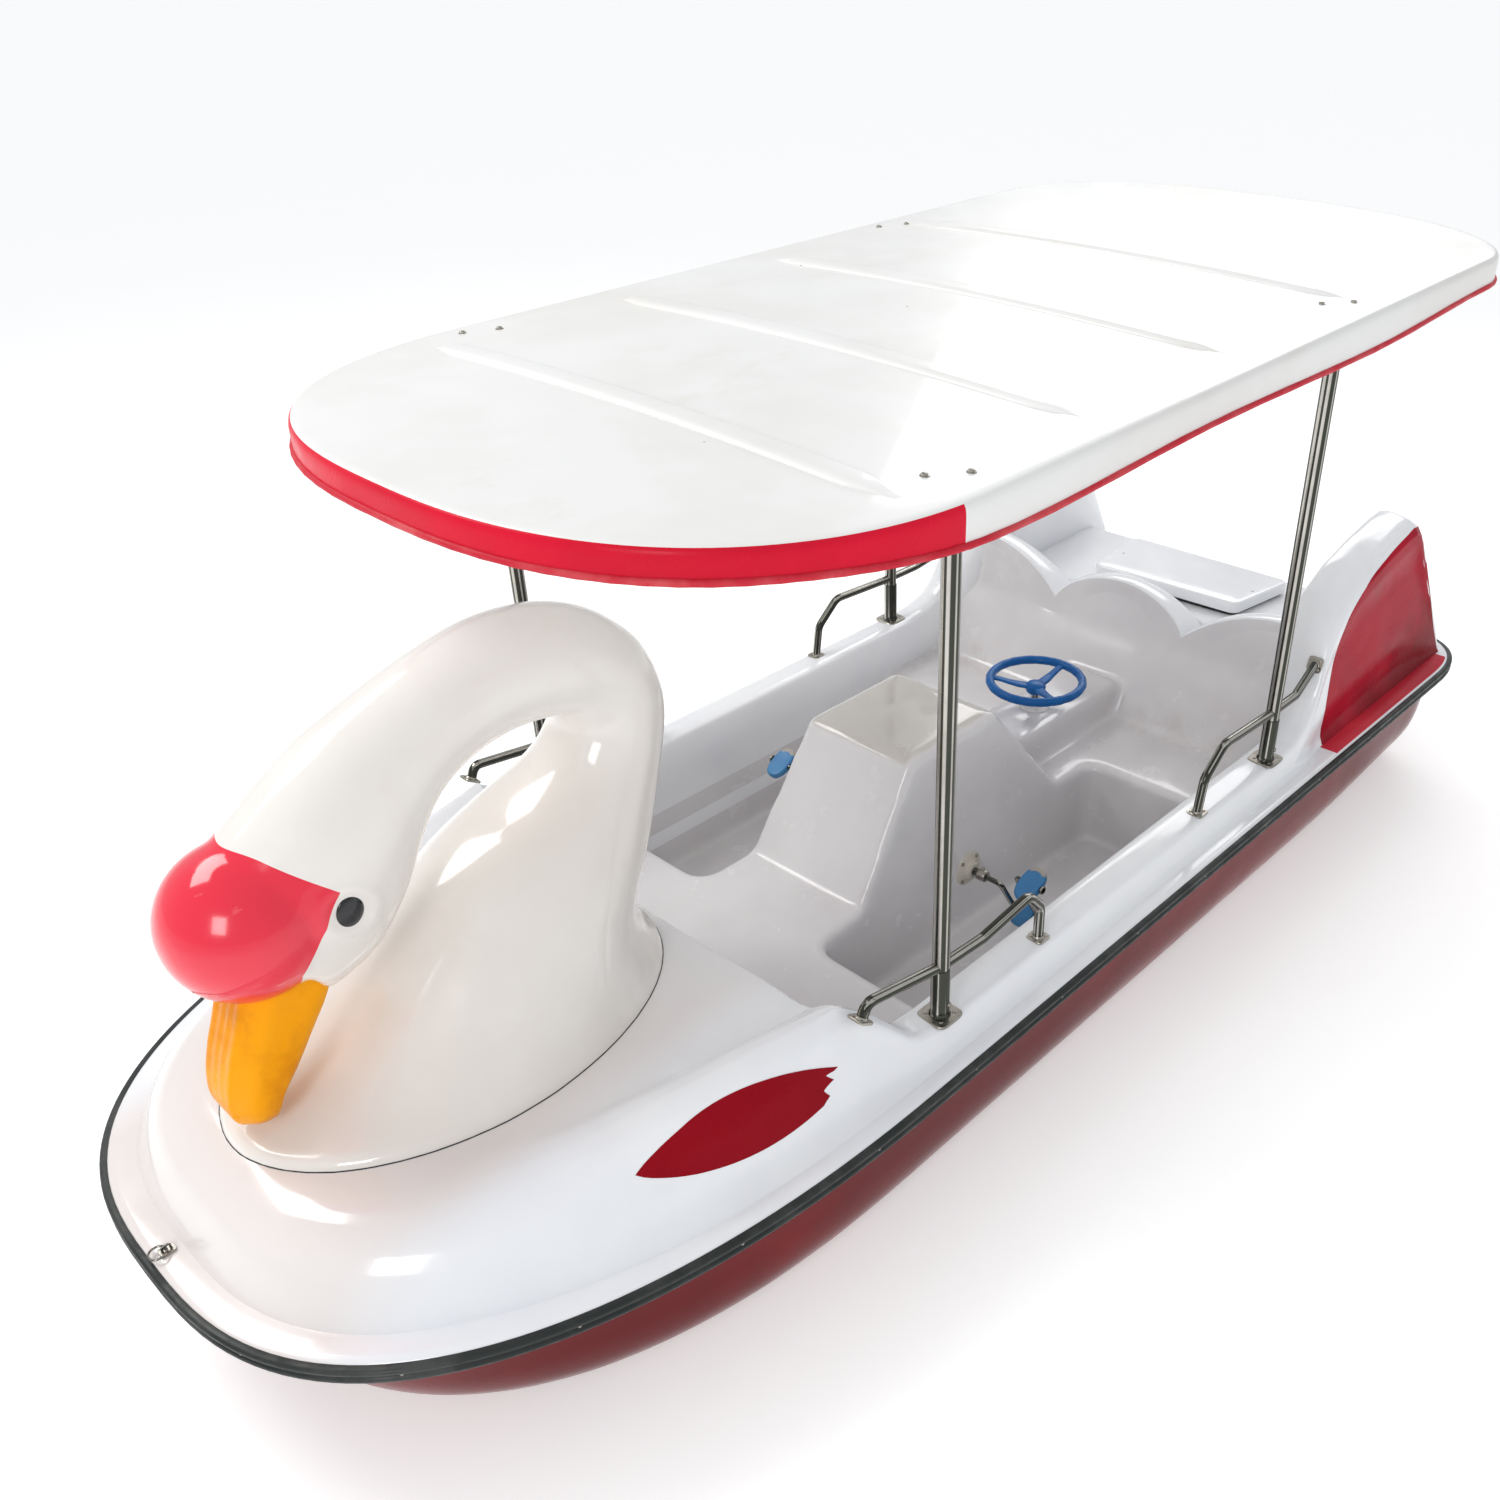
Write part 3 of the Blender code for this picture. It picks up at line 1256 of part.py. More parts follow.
# ---------------------------------------------------------------- assembly
def main():
    make_hull()
    make_rubbing_strip()
    make_foredeck()
    make_front_backrest()
    make_bench("front_bench", FRONT_SEAT_EDGE, BOX_FOOT_Y[0] - 0.006, -0.283)
    make_bench("rear_bench", REAR_SEAT_EDGE, BOX_FOOT_Y[1] + 0.006, 2.30)
    for side, label in ((1, "port"), (-1, "starboard")):
        make_side_deck(f"side_deck_{label}", side)
        make_footwell_floor(f"footwell_floor_{label}", side)
        make_wing(f"tail_wing_{label}", side)
        make_rails(side, label)
        make_eye(f"swan_eye_{label}", side)
        make_bearing(f"crank_bearing_{label}", side)
        for place, x, throw in (("inner", PEDAL_X[0], -CRANK_THROW), ("outer", PEDAL_X[1], CRANK_THROW)):
            make_pedal(f"pedal_{place}_{label}", side * x, throw)
        for end, y in (("front", POLE_Y[0]), ("rear", POLE_Y[1])):
            make_pole(f"canopy_pole_{end}_{label}", side, y)
    make_rear_backrest()
    make_paddle_box()
    make_pedestal()
    make_rear_deck()
    make_hatch()
    make_swan()
    make_beak()
    make_crankshaft()
    make_paddle_wheel()
    make_helm()
    make_column()
    make_linkage()
    make_rudder()
    make_canopy()
    make_canopy_trim()
    make_tow_eye()


main()
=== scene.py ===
"""Swan pedal boat: the visual model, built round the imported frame.

Metres, +X to port, the bow towards -Y, +Z up. Shapes are drawn in units of half the spacing of the canopy
poles, from the point between the front poles' feet; place() turns a drawn point into metres.
"""

import json
import math

import bmesh
import bpy
import numpy as np
from mathutils import Matrix, Vector
from mathutils.bvhtree import BVHTree

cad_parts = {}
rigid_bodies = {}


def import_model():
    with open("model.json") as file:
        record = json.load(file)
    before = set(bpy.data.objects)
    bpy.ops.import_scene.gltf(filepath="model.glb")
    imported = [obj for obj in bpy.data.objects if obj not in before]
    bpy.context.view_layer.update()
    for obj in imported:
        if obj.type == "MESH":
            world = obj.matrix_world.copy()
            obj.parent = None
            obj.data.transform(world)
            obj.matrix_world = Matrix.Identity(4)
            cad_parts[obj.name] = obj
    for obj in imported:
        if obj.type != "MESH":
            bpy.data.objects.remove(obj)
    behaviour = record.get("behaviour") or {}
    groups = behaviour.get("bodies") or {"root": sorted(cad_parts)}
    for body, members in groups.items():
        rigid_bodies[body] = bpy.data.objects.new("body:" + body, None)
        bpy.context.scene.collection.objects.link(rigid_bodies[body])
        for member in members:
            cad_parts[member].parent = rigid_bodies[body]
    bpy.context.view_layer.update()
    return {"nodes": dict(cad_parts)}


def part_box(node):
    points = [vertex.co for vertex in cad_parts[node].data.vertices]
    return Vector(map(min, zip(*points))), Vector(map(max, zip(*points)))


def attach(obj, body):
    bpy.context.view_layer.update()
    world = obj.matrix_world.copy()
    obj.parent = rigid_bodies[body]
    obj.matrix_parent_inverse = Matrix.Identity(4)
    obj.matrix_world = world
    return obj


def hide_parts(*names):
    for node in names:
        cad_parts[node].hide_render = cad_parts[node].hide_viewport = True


for startup in list(bpy.data.objects):
    bpy.data.objects.remove(startup, do_unlink=True)
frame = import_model()


def middle(node):
    low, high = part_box(node)
    return (Vector(low) + Vector(high)) / 2


POLE_FOOT = Vector(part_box("canopy_pole_front_port")[0])
UNIT = middle("canopy_pole_front_port").x
START_Y = middle("canopy_pole_front_port").y
START_Z = POLE_FOOT.z - 0.0003
SIDES = ((1, "port"), (-1, "starboard"))


def turns(count):
    """Equally spaced angles round one full turn."""
    return np.linspace(0, 2 * math.pi, count, endpoint=False)


def surface_tree(obj):
    """A tree for casting rays at an object's surface."""
    points = [vertex.co.copy() for vertex in obj.data.vertices]
    return BVHTree.FromPolygons(points, [tuple(face.vertices) for face in obj.data.polygons])


def place(x, y, z):
    """A drawn point in metres."""
    return Vector((x * UNIT, START_Y + y * UNIT, START_Z + z * UNIT))


# ---------------------------------------------------------------- drawn outlines
RIM_HALF = 1.14
RIM_BOW = -2.05
RIM_STERN = 3.83
RIM_Z = -0.12
BOW_START = -0.16
STERN_START = 3.40
COCKPIT_FRONT = -0.36
SPINE_FRONT = -1.15
DECK_Z = 0.115
SEAT_Z = -0.20
DECK_TOP = 0.130
FLOOR_Z = -0.58
CANOPY_HALF = 1.125
CANOPY_BOW = -0.99
CANOPY_STERN = 3.43
BAND_END = -0.10


def ease(a, b, t):
    """a to b as t goes from 0 to 1, eased at both ends. Works on numbers and on arrays."""
    t = min(max(t, 0.0), 1.0)
    t = t * t * (3.0 - 2.0 * t)
    return a + (b - a) * t


def along(points, t):
    """The eased value at t on a list of (t, value) pairs, held at both ends."""
    if t <= points[0][0]:
        return points[0][1]
    for (t0, v0), (t1, v1) in zip(points, points[1:]):
        if t <= t1:
            return ease(v0, v1, (t - t0) / (t1 - t0))
    return points[-1][1]


def spline(points, samples):
    """A smooth curve through the points, with so many samples to each span."""
    points = np.array(points, float)
    step = np.maximum(np.linalg.norm(np.diff(points, axis=0), axis=1), 1e-9)
    slope = np.diff(points, axis=0) / step[:, None]
    inner = (slope[:-1] * step[1:, None] + slope[1:] * step[:-1, None]) / (step[1:] + step[:-1])[:, None]
    tangent = np.vstack([slope[:1], inner, slope[-1:]])
    made = []
    for i in range(len(points) - 1):
        for k in range(samples):
            t = k / samples
            made.append(
                (2 * t**3 - 3 * t**2 + 1) * points[i]
                + (t**3 - 2 * t**2 + t) * step[i] * tangent[i]
                + (3 * t**2 - 2 * t**3) * points[i + 1]
                + (t**3 - t**2) * step[i] * tangent[i + 1]
            )
    made.append(points[-1])
    return np.array(made)


def bow_points(half, bow, start, steps, squareness=(2.35, 2.75)):
    """The port half of a rounded bow, from beside its tip to the widest station."""
    points = []
    for step in range(1, steps + 1):
        angle = math.radians(90.0 * step / steps)
        x = half * math.sin(angle) ** (2.0 / squareness[1])
        y = start - (start - bow) * max(math.cos(angle), 0.0) ** (2.0 / squareness[0])
        points.append((x, y))
    return points


def stern_points(half, stern, start, steps, squareness=(2.6, 7.0)):
    points = []
    for step in range(steps):
        angle = math.radians(90.0 * step / steps)
        x = half * math.cos(angle) ** (2.0 / squareness[1])
        y = start + (stern - start) * math.sin(angle) ** (2.0 / squareness[0])
        points.append((x, y))
    return points


def whole_outline(half, bow, stern):
    """The closed outline of the boat: down the port side, then up the starboard side."""
    port = [(0.0, bow)] + bow_points(half, bow, BOW_START, 44)
    port += [(half, y) for y in np.arange(0.0, 3.3, 0.15)]
    port += stern_points(half, stern, min(STERN_START, stern - 0.25), 20)
    port.append((0.0, stern))
    return port + [(-x, y) for x, y in reversed(port[1:-1])]


# ---------------------------------------------------------------- solids as (points, faces)
def loft(rows, caps=True, closed_rows=False):
    """A skin over closed rings, with end caps, or running back to the first ring."""
    rows = [[tuple(point) for point in row] for row in rows]
    count = len(rows[0])
    points = [point for row in rows for point in row]
    faces = []
    spans = len(rows) if closed_rows else len(rows) - 1
    for r in range(spans):
        a = r * count
        b = (r + 1) % len(rows) * count
        for i in range(count):
            j = (i + 1) % count
            faces.append((a + i, a + j, b + j, b + i))
    if caps and not closed_rows:
        faces.append(tuple(range(count)))
        faces.append(tuple(range(len(points) - count, len(points))))
    return points, faces


def grid(rows):
    """An open skin over rows of points."""
    rows = [[tuple(point) for point in row] for row in rows]
    count = len(rows[0])
    points = [point for row in rows for point in row]
    faces = []
    for r in range(len(rows) - 1):
        for i in range(count - 1):
            a = r * count + i
            faces.append((a, a + 1, a + count + 1, a + count))
    return points, faces


def thick(rows, offset):
    """A slab: rows of points, and the same rows moved by an offset in drawn units."""
    shift = Vector(offset) * UNIT
    rows = [[Vector(point) for point in row] for row in rows]
    rings = []
    for row in rows:
        rings.append(row + [point + shift for point in reversed(row)])
    return loft(rings)


def tube(path, radius, sides=20, cyclic=False):
    """A round tube along a path in metres; the radius may be a list, one for each point."""
    path = [Vector(point) for point in path]
    count = len(path)
    radii = radius if isinstance(radius, (list, tuple)) else [radius] * count
    rings = []
    normal = None
    for i, point in enumerate(path):
        before = path[i - 1] if (i or cyclic) else point
        after = path[(i + 1) % count] if (i < count - 1 or cyclic) else point
        heading = (after - before).normalized()
        if normal is None:
            normal = heading.orthogonal().normalized()
        normal = (normal - heading * normal.dot(heading)).normalized()
        across = heading.cross(normal)
        ring = []
        for k in range(sides):
            angle = 2.0 * math.pi * k / sides
            ring.append(point + (normal * math.cos(angle) + across * math.sin(angle)) * radii[i])
        rings.append(ring)
    return loft(rings, closed_rows=cyclic)


def lathe(profile, centre, axis=(0, 0, 1), sides=40):
    """A turned solid: (radius, height) pairs from its foot up, standing at a point along an axis."""
    turn = Vector(axis).to_track_quat("Z", "Y").to_matrix()
    rings = []
    for radius, height in profile:
        ring = []
        for k in range(sides):
            angle = 2.0 * math.pi * k / sides
            ring.append(Vector(centre)
                        + turn @ Vector((radius * math.cos(angle), radius * math.sin(angle), height)))
        rings.append(ring)
    return loft(rings)


def bent(points, radius, steps=8):
    """A path through corner points in metres whose corners are arcs."""
    path = [Vector(points[0])]
    for before, corner, after in zip(points, points[1:], points[2:]):
        corner = Vector(corner)
        back = (Vector(before) - corner).normalized()
        ahead = (Vector(after) - corner).normalized()
        half = back.angle(ahead) / 2
        reach = radius / math.tan(half)
        centre = corner + (back + ahead).normalized() * radius / math.sin(half)
        start = corner + back * reach - centre
        end = corner + ahead * reach - centre
        for step in range(steps + 1):
            path.append(centre + start.slerp(end, step / steps).normalized() * radius)
    path.append(Vector(points[-1]))
    return path


def rounded(corners, radius, steps=6):
    """A closed (x, y) outline whose corners are arcs."""
    outline = []
    for i, corner in enumerate(corners):
        before = corners[i - 1]
        after = corners[(i + 1) % len(corners)]
        path = bent([(*before, 0.0), (*corner, 0.0), (*after, 0.0)], radius, steps)
        outline += [(point.x, point.y) for point in path[1:-1]]
    return outline


def screw_head(centre, axis, radius=0.0045, height=0.0022):
    """A pan head seen from outside: a low dome."""
    profile = [(radius, -0.001), (radius, height * 0.45), (radius * 0.8, height * 0.8),
               (radius * 0.4, height),
               (radius * 0.05, height)]
    return lathe(profile, centre, axis, 14)


def foot_plate(centre, axis, radius, height=0.004, screws=4):
    """A square flange with round corners and its screws."""
    spin = Vector(axis).to_track_quat("Z", "Y").to_matrix()
    rings = []
    for scale, level in ((0.98, -0.0015), (1.0, height * 0.5), (0.95, height), (0.3, height)):
        ring = []
        for k in range(48):
            angle = 2.0 * math.pi * k / 48
            across = math.cos(angle)
            along_side = math.sin(angle)
            reach = 0.93 * radius * scale / (abs(across) ** 5 + abs(along_side) ** 5) ** 0.2
            ring.append(Vector(centre) + spin @ Vector((across * reach, along_side * reach, level)))
        rings.append(ring)
    made = [loft(rings)]
    for k in range(screws):
        angle = 2.0 * math.pi * (k + 0.5) / screws
        around = Vector((math.cos(angle), math.sin(angle), 0.0)) * radius * 0.72
        made.append(screw_head(Vector(centre) + spin @ (around + Vector((0, 0, height))), axis))
    return made


# ---------------------------------------------------------------- pieces
def add_mesh(name, solids, surfaces, closed=True, sharp=38.0):
    """One object from solids, given as (points, faces) or (points, faces, material index)."""
    points = []
    faces = []
    slots = []
    for solid in solids:
        base = len(points)
        points += [tuple(point) for point in solid[0]]
        faces += [tuple(base + i for i in face) for face in solid[1]]
        kind = solid[2] if len(solid) > 2 else 0
        slots += kind if isinstance(kind, list) else [kind] * len(solid[1])
    mesh = bpy.data.meshes.new(name)
    mesh.from_pydata(points, [], faces)
    mesh.polygons.foreach_set("material_index", slots)
    bm = bmesh.new()
    bm.from_mesh(mesh)
    bmesh.ops.remove_doubles(bm, verts=bm.verts, dist=0.00002)
    if closed:
        bmesh.ops.recalc_face_normals(bm, faces=bm.faces)
    bm.to_mesh(mesh)
    bm.free()
    for surface in surfaces:
        mesh.materials.append(surface)
    obj = bpy.data.objects.new(name, mesh)
    bpy.context.scene.collection.objects.link(obj)
    finish_shading(obj, sharp)
    return obj


def finish_shading(obj, sharp):
    obj.data.shade_smooth()
    obj.data.set_sharp_from_angle(angle=math.radians(sharp))


def bake(obj, sharp=38.0):
    """Puts the result of the modifiers into the mesh."""
    bpy.context.view_layer.update()
    graph = bpy.context.evaluated_depsgraph_get()
    made = bpy.data.meshes.new_from_object(obj.evaluated_get(graph), depsgraph=graph)
    obj.modifiers.clear()
    obj.data = made
    finish_shading(obj, sharp)


def shell(obj, thickness):
    """Gives a skin its thickness, inwards."""
    modifier = obj.modifiers.new("Shell", "SOLIDIFY")
    modifier.thickness = thickness
    modifier.offset = -1.0
    bake(obj)


def carve(obj, cutter, operation="DIFFERENCE"):
    modifier = obj.modifiers.new("Carve", "BOOLEAN")
    modifier.operation = operation
    modifier.object = cutter
    bake(obj)
    bpy.data.objects.remove(cutter)


def fuse(obj, voxel, rounds, factor=0.5, weight=None):
    """Melts overlapping solids into one moulding and rounds its inner and outer corners."""
    modifier = obj.modifiers.new("Fuse", "REMESH")
    modifier.mode = "VOXEL"
    modifier.voxel_size = voxel
    surfaces = list(obj.data.materials)
    bake(obj, 180.0)
    mesh = obj.data
    mesh.materials.clear()
    for surface in surfaces:
        mesh.materials.append(surface)
    count = len(mesh.vertices)
    co = np.empty(count * 3)
    mesh.vertices.foreach_get("co", co)
    co = co.reshape(-1, 3)
    edges = np.empty(len(mesh.edges) * 2, dtype=np.int64)
    mesh.edges.foreach_get("vertices", edges)
    edges = edges.reshape(-1, 2)
    degree = np.bincount(edges.ravel(), minlength=count)[:, None]
    share = np.full((count, 1), factor) if weight is None else factor * weight(co)[:, None]
    for _ in range(rounds):
        total = np.zeros_like(co)
        for axis in range(3):
            total[:, axis] = np.bincount(edges[:, 0], co[edges[:, 1], axis], count)
            total[:, axis] += np.bincount(edges[:, 1], co[edges[:, 0], axis], count)
        co += share * (total / np.maximum(degree, 1) - co)
    mesh.vertices.foreach_set("co", co.ravel())
    mesh.update()
    finish_shading(obj, 180.0)


def settle(obj, body, slot, *nodes):
    """The piece rides on its body and stands for CAD nodes; the slot is not used."""
    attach(obj, body)
    if nodes:
        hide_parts(*nodes)
    return obj


def piece(name, solids, surfaces, slot, nodes=(), body="boat", sharp=38.0):
    if not isinstance(surfaces, (list, tuple)):
        surfaces = [surfaces]
    return settle(add_mesh(name, solids, surfaces, True, sharp), body, slot, *nodes)


# ---------------------------------------------------------------- materials
class Net:
    """Short names for the nodes of one material."""

    def __init__(self, name):
        self.surface = bpy.data.materials.new(name)
        self.surface.use_nodes = True
        self.tree = self.surface.node_tree
        self.shader = self.tree.nodes["Principled BSDF"]
        self.coordinates = self.node("ShaderNodeTexCoord").outputs["Object"]

    def node(self, kind, **settings):
        made = self.tree.nodes.new(kind)
        for key, value in settings.items():
            setattr(made, key, value)
        return made

    def join(self, value, socket):
        if isinstance(value, bpy.types.NodeSocket):
            self.tree.links.new(value, socket)
        else:
            socket.default_value = value

    def math(self, operation, a, b=0.0):
        made = self.node("ShaderNodeMath", operation=operation)
        self.join(a, made.inputs[0])
        self.join(b, made.inputs[1])
        return made.outputs[0]

    def axis(self, index):
        made = self.node("ShaderNodeSeparateXYZ")
        self.join(self.coordinates, made.inputs[0])
        return made.outputs[index]

    def noise(self, scale, detail=3.0, roughness=0.5, stretch=None):
        made = self.node("ShaderNodeTexNoise")
        made.inputs["Scale"].default_value = scale
        made.inputs["Detail"].default_value = detail
        made.inputs["Roughness"].default_value = roughness
        source = self.coordinates
        if stretch:
            mapping = self.node("ShaderNodeMapping")
            mapping.inputs["Scale"].default_value = stretch
            self.join(source, mapping.inputs["Vector"])
            source = mapping.outputs[0]
        self.join(source, made.inputs["Vector"])
        return made.outputs[0]

    def span(self, value, low, high, to_low=0.0, to_high=1.0):
        """The value between low and high, eased, as a number between two others."""
        made = self.node("ShaderNodeMapRange", interpolation_type="SMOOTHSTEP")
        self.join(value, made.inputs[0])
        for index, number in enumerate((low, high, to_low, to_high), 1):
            made.inputs[index].default_value = number
        return made.outputs[0]

    def mix(self, share, a, b):
        made = self.node("ShaderNodeMix", data_type="RGBA")
        self.join(share, made.inputs[0])
        for socket, value in ((made.inputs[6], a), (made.inputs[7], b)):
            self.join(value if isinstance(value, bpy.types.NodeSocket) else (*value, 1.0), socket)
        return made.outputs[2]

    def bump(self, value, strength, distance, before=None):
        made = self.node("ShaderNodeBump")
        made.inputs["Strength"].default_value = strength
        made.inputs["Distance"].default_value = distance
        self.join(value, made.inputs["Height"])
        if before:
            self.join(before, made.inputs["Normal"])
        return made.outputs[0]

    def set(self, **values):
        for key, value in values.items():
            self.join(value, self.shader.inputs[key.replace("_", " ")])


def gelcoat(name, colour, tint, gloss=(0.10, 0.26), wave=0.10, zone=None, coat=0.35, ior=1.5):
    """Moulded and polished resin: slight drift of colour and gloss, orange peel and a faint waviness."""
    net = Net(name)
    drift = net.span(net.noise(1.7, 4.0, 0.6), 0.38, 0.66)
    base = net.mix(drift, colour, tint)
    rough = net.span(net.noise(9.0, 5.0, 0.6), 0.3, 0.75, *gloss)
    if zone:
        base, rough = zone(net, base, rough)
    swell = net.bump(net.noise(3.2, 1.0, 0.4), wave, 0.02)
    normal = net.bump(net.noise(160.0, 2.0, 0.5), 0.03, 0.0008, swell)
    net.set(Base_Color=base, Roughness=rough, Normal=normal)
    net.shader.inputs["Coat Weight"].default_value = coat
    net.shader.inputs["IOR"].default_value = ior
    net.shader.inputs["Coat Roughness"].default_value = 0.06
    return net.surface


def red(name, colour, tint, gloss, wave, ior):
    """Red resin without a clear coat; the low index keeps its colour deep under the lamps."""
    return gelcoat(name, colour, tint, gloss, wave, None, 0.0, ior)


def deck_zone(net, base, rough):
    """Warmer resin towards the bow, and faint brown water marks."""
    warm = net.span(net.axis(1), place(0, 0.2, 0).y, place(0, -1.0, 0).y)
    inboard = net.span(net.math("ABSOLUTE", net.axis(0)), 0.72 * UNIT, 0.5 * UNIT)
    warm = net.math("MULTIPLY", warm, inboard)
    base = net.mix(net.math("MULTIPLY", warm, 0.8), base, (0.76, 0.70, 0.67))
    marks = net.span(net.noise(5.5, 8.0, 0.7), 0.60, 0.80, 0.0, 0.35)
    return net.mix(net.math("MULTIPLY", marks, warm), base, (0.60, 0.47, 0.38)), rough


def liner_zone(net, base, rough):
    """The wet, dulled top of the paddle box, and rusty marks at the foot of the rear seat back."""
    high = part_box("paddle_box")[1]
    top = net.span(net.axis(2), high[2] - 0.020, high[2] - 0.008)
    edge = net.math("ADD", net.math("ABSOLUTE", net.axis(0)),
                    net.math("MULTIPLY", net.noise(14.0, 3.0), 0.03))
    ahead = net.math("LESS_THAN", net.axis(1), high[1] + 0.03)
    wet = net.math("MULTIPLY", net.math("MULTIPLY", top, ahead), net.span(edge, 0.190, 0.172))
    base = net.mix(net.math("MULTIPLY", wet, 0.75), base, (0.50, 0.47, 0.42))
    pool = net.span(net.noise(7.0, 2.0), 0.47, 0.50)
    rough = net.math("SUBTRACT", rough, net.math("MULTIPLY", net.math("MULTIPLY", wet, pool), 0.10))
    seam = place(0, 2.24, SEAT_Z)
    near = net.span(net.math("ABSOLUTE", net.math("SUBTRACT", net.axis(1), seam.y)), 0.09, 0.0)
    level = net.span(net.math("ABSOLUTE", net.math("SUBTRACT", net.axis(2), seam.z + 0.03)), 0.09, 0.02)
    rust = net.math("MULTIPLY", net.math("MULTIPLY", near, level),
                    net.span(net.noise(11.0, 6.0, 0.7), 0.45, 0.7))
    return net.mix(net.math("MULTIPLY", rust, 0.22), base, (0.38, 0.24, 0.14)), rough


def roof_zone(net, base, rough):
    """Dirt specks and faint scuffs on the canopy."""
    cells = net.node("ShaderNodeTexVoronoi")
    cells.inputs["Scale"].default_value = 9.0
    net.join(net.coordinates, cells.inputs["Vector"])
    speck = net.span(cells.outputs["Distance"], 0.034, 0.020)
    sparse = net.span(net.noise(5.0, 2.0), 0.52, 0.56)
    dirt = net.math("MULTIPLY", speck, sparse)
    scuff = net.span(net.noise(3.0, 8.0, 0.75, (1.0, 0.45, 1.0)), 0.56, 0.74, 0.0, 0.40)
    base = net.mix(scuff, base, (0.70, 0.64, 0.57))
    return net.mix(net.math("MULTIPLY", dirt, 0.8), base, (0.10, 0.08, 0.07)), rough


def knob_zone(net, base, rough):
    """The painted knob: everything of the head ahead of a slanting line round its brow."""
    brow = place(0.0, -1.550, 0.990)
    cheek = place(0.0, -1.390, 0.845)
    rise = net.math("SUBTRACT", net.axis(2), brow.z)
    peak = net.span(net.math("ABSOLUTE", net.axis(0)), 0.080, 0.0, 0.0, 0.016)
    upper = net.math("SUBTRACT", net.math("SUBTRACT", brow.y, net.math("MULTIPLY", rise, 1.10)), peak)
    fall = net.math("SUBTRACT", net.axis(2), cheek.z)
    lower = net.math("MAXIMUM", net.math("ADD", cheek.y, net.math("MULTIPLY", fall, 0.70)), cheek.y - 0.096)
    line = net.math("SUBTRACT", net.math("MINIMUM", upper, lower), net.axis(1))
    head = net.math("GREATER_THAN", net.axis(2), place(0.0, 0.0, 0.42).z)
    edge = net.math("MULTIPLY", net.span(line, -0.0008, 0.0008), head)
    scratch = net.span(net.noise(26.0, 4.0, 0.6, (1.0, 0.25, 1.0)), 0.66, 0.72, 0.0, 0.35)
    red = net.mix(scratch, (0.78, 0.016, 0.046), (0.84, 0.20, 0.20))
    dust = net.span(net.noise(4.0, 7.0, 0.7), 0.55, 0.75, 0.0, 0.22)
    base = net.mix(dust, base, (0.74, 0.66, 0.57))
    return net.mix(edge, base, red), rough


def metal(name, colour, tint, gloss, brushed, bump=0.05, reflection_colour=None):
    """Polished or galvanised metal with fine draw marks and dull patches; a reflection colour, when given, is
    laid on in streaks set by the way the surface faces: painted reflection of darker surroundings.
    """
    net = Net(name)
    patches = net.span(net.noise(12.0, 6.0, 0.65), 0.35, 0.75)
    lines = net.noise(90.0, 2.0, 0.5, brushed)
    base = net.mix(patches, colour, tint)
    if reflection_colour:
        # Painted reflection: a noise over the surface normal mixes in the reflection colour, as mirrored
        # darker surroundings would
        reflection_streaks = net.node("ShaderNodeTexNoise")
        reflection_streaks.inputs["Scale"].default_value = 1.9
        reflection_streaks.inputs["Detail"].default_value = 2.0
        net.join(net.node("ShaderNodeTexCoord").outputs["Normal"], reflection_streaks.inputs["Vector"])
        base = net.mix(net.span(reflection_streaks.outputs[0], 0.40, 0.50), base, reflection_colour)
    net.set(Base_Color=base, Roughness=net.span(lines, 0.25, 0.75, *gloss),
            Normal=net.bump(lines, bump, 0.0006))
    net.shader.inputs["Metallic"].default_value = 1.0
    return net.surface


def plastic(name, colour, tint, gloss, grain, strength=0.12, ior=1.5):
    """Moulded plastic, rubber or paint with a fine grain."""
    net = Net(name)
    worn = net.span(net.noise(7.0, 6.0, 0.65), 0.42, 0.72)
    net.set(Base_Color=net.mix(worn, colour, tint),
            Roughness=net.span(net.noise(22.0, 4.0), 0.3, 0.7, *gloss),
            Normal=net.bump(net.noise(grain, 3.0, 0.6), strength, 0.0008))
    net.shader.inputs["IOR"].default_value = ior
    return net.surface


WHITE = gelcoat("white_resin", (0.85, 0.86, 0.88), (0.80, 0.81, 0.845), zone=deck_zone)
LINER = gelcoat("liner_resin", (0.70, 0.685, 0.69), (0.64, 0.62, 0.63), (0.13, 0.30), 0.12, liner_zone)
SWAN = gelcoat("swan_resin", (0.84, 0.81, 0.775), (0.79, 0.745, 0.70), (0.09, 0.22), 0.08, knob_zone)
ROOF = gelcoat("roof_resin", (0.83, 0.83, 0.815), (0.79, 0.775, 0.75), (0.30, 0.45), 0.08, roof_zone)
HULL_RED = red("hull_red", (0.175, 0.005, 0.008), (0.125, 0.004, 0.006), (0.10, 0.24), 0.16, 1.18)
FEATHER_RED = red("feather_red", (0.29, 0.004, 0.012), (0.24, 0.004, 0.010), (0.22, 0.36), 0.05, 1.15)
WING_RED = red("wing_red", (0.42, 0.008, 0.026), (0.20, 0.005, 0.012), (0.18, 0.34), 0.25, 1.12)
STRIP_RED = red("strip_red", (0.66, 0.040, 0.065), (0.50, 0.020, 0.040), (0.28, 0.44), 0.06, 1.2)
BAND_RED = red("band_red", (0.68, 0.009, 0.034), (0.58, 0.008, 0.028), (0.20, 0.38), 0.08, 1.2)
PIPING = plastic("piping_rubber", (0.55, 0.020, 0.04), (0.62, 0.09, 0.10), (0.38, 0.60), 380.0, 0.3, 1.25)
RUBBER = plastic("rail_rubber", (0.018, 0.022, 0.021), (0.050, 0.055, 0.052), (0.30, 0.55), 420.0, 0.25, 1.35)
BEAK = plastic("beak_paint", (0.92, 0.360, 0.001), (0.72, 0.245, 0.001), (0.26, 0.42), 60.0, 0.10, 1.22)
BLUE = plastic("wheel_plastic", (0.004, 0.085, 0.290), (0.007, 0.115, 0.350), (0.22, 0.38), 300.0, 0.10, 1.3)
PEDAL_BLUE = plastic("pedal_plastic", (0.030, 0.170, 0.390), (0.055, 0.230, 0.440), (0.30, 0.50), 240.0, 0.2)
